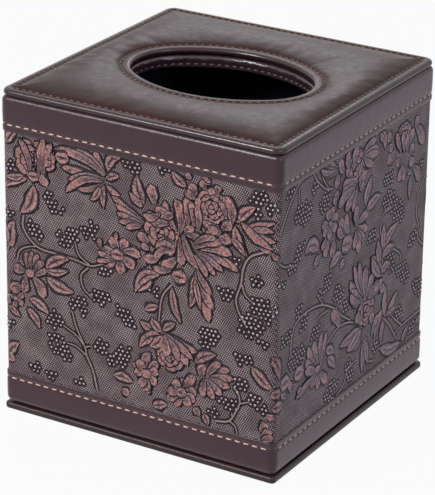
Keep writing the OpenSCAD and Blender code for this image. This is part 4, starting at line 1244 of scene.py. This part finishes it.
def inflate(rings):
    """Swells the padding as cloth held at its seams. Worked at ten times its size."""
    big = 10 * MM
    flat = rings.reshape(-1, 3) * big
    mesh = bpy.data.meshes.new("padding_cloth")
    mesh.from_pydata(flat.tolist(), [], grid_faces(*rings.shape[:2], wrap_cols=True))
    cloth_object = linked("padding_cloth", mesh)
    pins = cloth_object.vertex_groups.new(name="pins")
    edge = list(range(RING)) + list(range(PAD_STEPS * RING, (PAD_STEPS + 1) * RING))
    pins.add(edge, 1.0, "REPLACE")
    cloth = cloth_object.modifiers.new("Cloth", "CLOTH")
    settings = cloth.settings
    settings.vertex_group_mass = "pins"
    settings.use_pressure = True
    settings.effector_weights.gravity = 0
    for name, value in CLOTH.items():
        setattr(settings, name, value)
    cloth.point_cache.frame_end = CLOTH_STEPS
    scene = bpy.context.scene
    for step in range(1, CLOTH_STEPS + 1):
        scene.frame_set(step)
    settled = cloth_object.evaluated_get(bpy.context.evaluated_depsgraph_get())
    places = np.zeros(len(settled.data.vertices) * 3)
    settled.data.vertices.foreach_get("co", places)
    bpy.data.objects.remove(cloth_object)
    scene.frame_set(1)
    return places.reshape(rings.shape) / big


def crowned(rings):
    """The rings raised to the crown's height, keeping the folds that the cloth took"""
    folds = rings[..., 2] - rings[..., 2].mean(axis=1, keepdims=True)
    share = np.linspace(0, 1, PAD_STEPS + 1)[:, None]
    out = rings.copy()
    crown = CROWN_H * np.sin(math.pi * share) ** 0.7
    out[..., 2] = RIM_Z + crown + np.clip(FOLD_GAIN * folds, *FOLD_LIMITS)
    return out


def finer(rings, factor):
    """More points round each ring, on a closed cubic through the old ones"""
    before, after, beyond = (np.roll(rings, k, axis=1) for k in (1, -1, -2))
    out = []
    for t in np.arange(factor) / factor:
        out.append(0.5 * (2 * rings + (after - before) * t
                          + (2 * before - 5 * rings + 4 * after - beyond) * t ** 2
                          + (3 * rings - before - 3 * after + beyond) * t ** 3))
    return np.stack(out, axis=2).reshape(rings.shape[0], -1, 3)


def seam_pull(rings, stitches, reach=1.3, depth=0.12):
    """Puckers, made in the rings themselves: the leather dips at each stitch"""
    middles = np.array([s[0] for s in stitches])
    flat = rings.reshape(-1, 3)
    for start in range(0, len(flat), 4000):
        block = flat[start:start + 4000]
        nearest = np.linalg.norm(block[:, None, :2] - middles[None], axis=2).min(axis=1)
        close = nearest < 2.5 * reach
        block[close, 2] -= depth * np.exp(-(nearest[close] / reach) ** 2)


def panel():
    """The padded panel's leather, from under its outer edge over the padding into the mouth"""
    pad = padding_rings()
    pad = finer(crowned(inflate(pad)), FINER)
    count = RING * FINER
    under = WALL_Z1 + 0.02
    edge_turn_in, mouth_turn_in = 12.0, 8.0     # how far the leather goes back under the panel
    nose = [(NOSE_R - NOSE_R * math.cos(a), RIM_Z - NOSE_R + NOSE_R * math.sin(a))
            for a in np.radians(np.linspace(-90, 90, 11))]
    lips = ((-1.5, 0.1), (-0.8, 0.04), (-0.4, -0.17), (0.0, -CHANNEL_DEPTH), (0.4, -0.17))
    outer = [(edge_turn_in, under)] + nose + [(EDGE_SEAM + d, RIM_Z + dz) for d, dz in lips]
    inner = [(mouth_turn_in, under)] + nose + [(MOUTH_SEAM + d, RIM_Z + dz) for d, dz in lips]
    rings = [np.column_stack([panel_ring(inset, count), np.full(count, z)]) for inset, z in outer]
    rings += list(pad)
    rings += [np.column_stack([mouth_ring(grow, count), np.full(count, z)]) for grow, z in reversed(inner)]
    rings = np.array(rings)
    top = len(nose) + 1
    edge_row = frame_stitch_places(HALF - EDGE_SEAM, PANEL_R - EDGE_SEAM, PANEL_PITCH)
    seam_pull(rings[top:-top], edge_row + mouth_stitch_places(MOUTH_SEAM, PANEL_PITCH))
    rings = np.concatenate([rings, rings[:1]])[:, ::-1]
    last = len(rings) - 1
    middle, edge = 0, 1     # places in the panel's materials
    parts = Parts()
    for first, end, index in ((0, top, edge), (top, last - top, middle), (last - top, last, edge)):
        parts.grid(rings[first:end + 1], index, wrap_cols=True)
    piece = worn(parts.piece("padded_panel", [PANEL, PANEL_EDGE]), "panel_leather")


def hinge_fold():
    """The free strip between the hinge's two leaves"""
    corners = ((-1, HINGE_Y0), (1, HINGE_Y0), (1, HINGE_Y1), (-1, HINGE_Y1))
    levels = np.linspace(HINGE_Z0, HINGE_Z1, 13)
    parts = Parts()
    parts.grid(np.array([[(side * HINGE_HALF_L, y, z) for side, y in corners] for z in levels]),
               wrap_cols=True)
    piece = parts.piece("hinge_fold", [HINGE], smooth=False)
    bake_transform(piece)


# Camera, light and stage
def camera():
    """The photograph's view, from a fit of the cover's corners. A long lens, slightly rolled."""
    azimuth, elevation, roll = (math.radians(a) for a in (30.57, 22.85, 0.86))
    distance, focal_px, frame_px, sensor = 1.104, 2632.0, 495.0, 36.0
    target = Vector((-0.001, 0.0003, 0.0644))
    back = Vector((math.sin(azimuth) * math.cos(elevation), -math.cos(azimuth) * math.cos(elevation),
                   math.sin(elevation)))
    right = Vector((math.cos(azimuth), math.sin(azimuth), 0))
    up = back.cross(right)
    rolled = right * math.cos(roll) + up * math.sin(roll)
    up = back.cross(rolled)
    data = bpy.data.cameras.new("camera")
    data.sensor_fit = "VERTICAL"
    data.sensor_height = sensor
    data.lens = focal_px * sensor / frame_px
    data.clip_start, data.clip_end = 0.05, 50
    camera_object = linked("camera", data)
    eye = target + back * distance
    rows = [(rolled[i], up[i], back[i], eye[i]) for i in range(3)]
    camera_object.matrix_world = Matrix((*rows, (0, 0, 0, 1)))
    bpy.context.scene.camera = camera_object


def area_light(name, place, aim_z, size, power, tint=(1.0, 1.0, 1.0)):
    """A round lamp at place, in metres, aimed at a height on the middle line"""
    data = bpy.data.lights.new(name, "AREA")
    data.color = tint
    data.shape = "DISK"
    data.size = size
    data.energy = power
    light = linked(name, data)
    light.location = place
    light.rotation_euler = (Vector((0, 0, aim_z)) - Vector(place)).to_track_quat("-Z", "Y").to_euler()


def world():
    """White where it is seen, and a dimmer, cooler light on the object"""
    studio = bpy.data.worlds.new("studio")
    studio.use_nodes = True
    n = Nodes(studio.node_tree)
    seen = n.mix(n.seen_directly(), (0.46, 0.47, 0.52, 1), (1, 1, 1, 1))
    background = n.nodes["Background"]
    n.links.new(seen, background.inputs["Color"])
    background.inputs["Strength"].default_value = 1.0
    bpy.context.scene.world = studio


def floor():
    """A wide grey floor that shows as nearly white and keeps a faint shadow of the object"""
    mesh = bpy.data.meshes.new("floor")
    mesh.from_pydata([(-8, -8, 0), (8, -8, 0), (8, 8, 0), (-8, 8, 0)], [], [(0, 1, 2, 3)])
    s = Shader("floor", 0.9, 0.1)
    s.set("Base Color", (0.25, 0.25, 0.25, 1))
    glow = s.node("ShaderNodeEmission", {"Color": (1, 1, 1, 1), "Strength": 1.0})
    share = s.times(s.seen_directly(), 0.95)
    mixed = s.node("ShaderNodeMixShader", {0: share, 1: s.bsdf.outputs[0], 2: glow.outputs[0]})
    s.links.new(mixed.outputs[0], s.nodes["Material Output"].inputs["Surface"])
    mesh.materials.append(s.material)
    linked("floor", mesh)


floral_pattern()
bands()
collar()
stitches()
panel()
hinge_fold()
camera()
world()
floor()
area_light("key", (-0.75, -1.5, 1.2), 0.07, 0.7, 26)
area_light("fill", (1.5, -0.6, 0.8), 0.07, 1.0, 7.2, (0.62, 0.68, 1.0))
area_light("sheen", (-0.5, 0.92, 0.58), 0.14, 0.3, 0.62, (0.9, 0.94, 1.0))
area_light("edge", (-0.84, -1.4, 1.25), 0.14, 0.12, 3)
bpy.context.scene.view_settings.view_transform = "Standard"
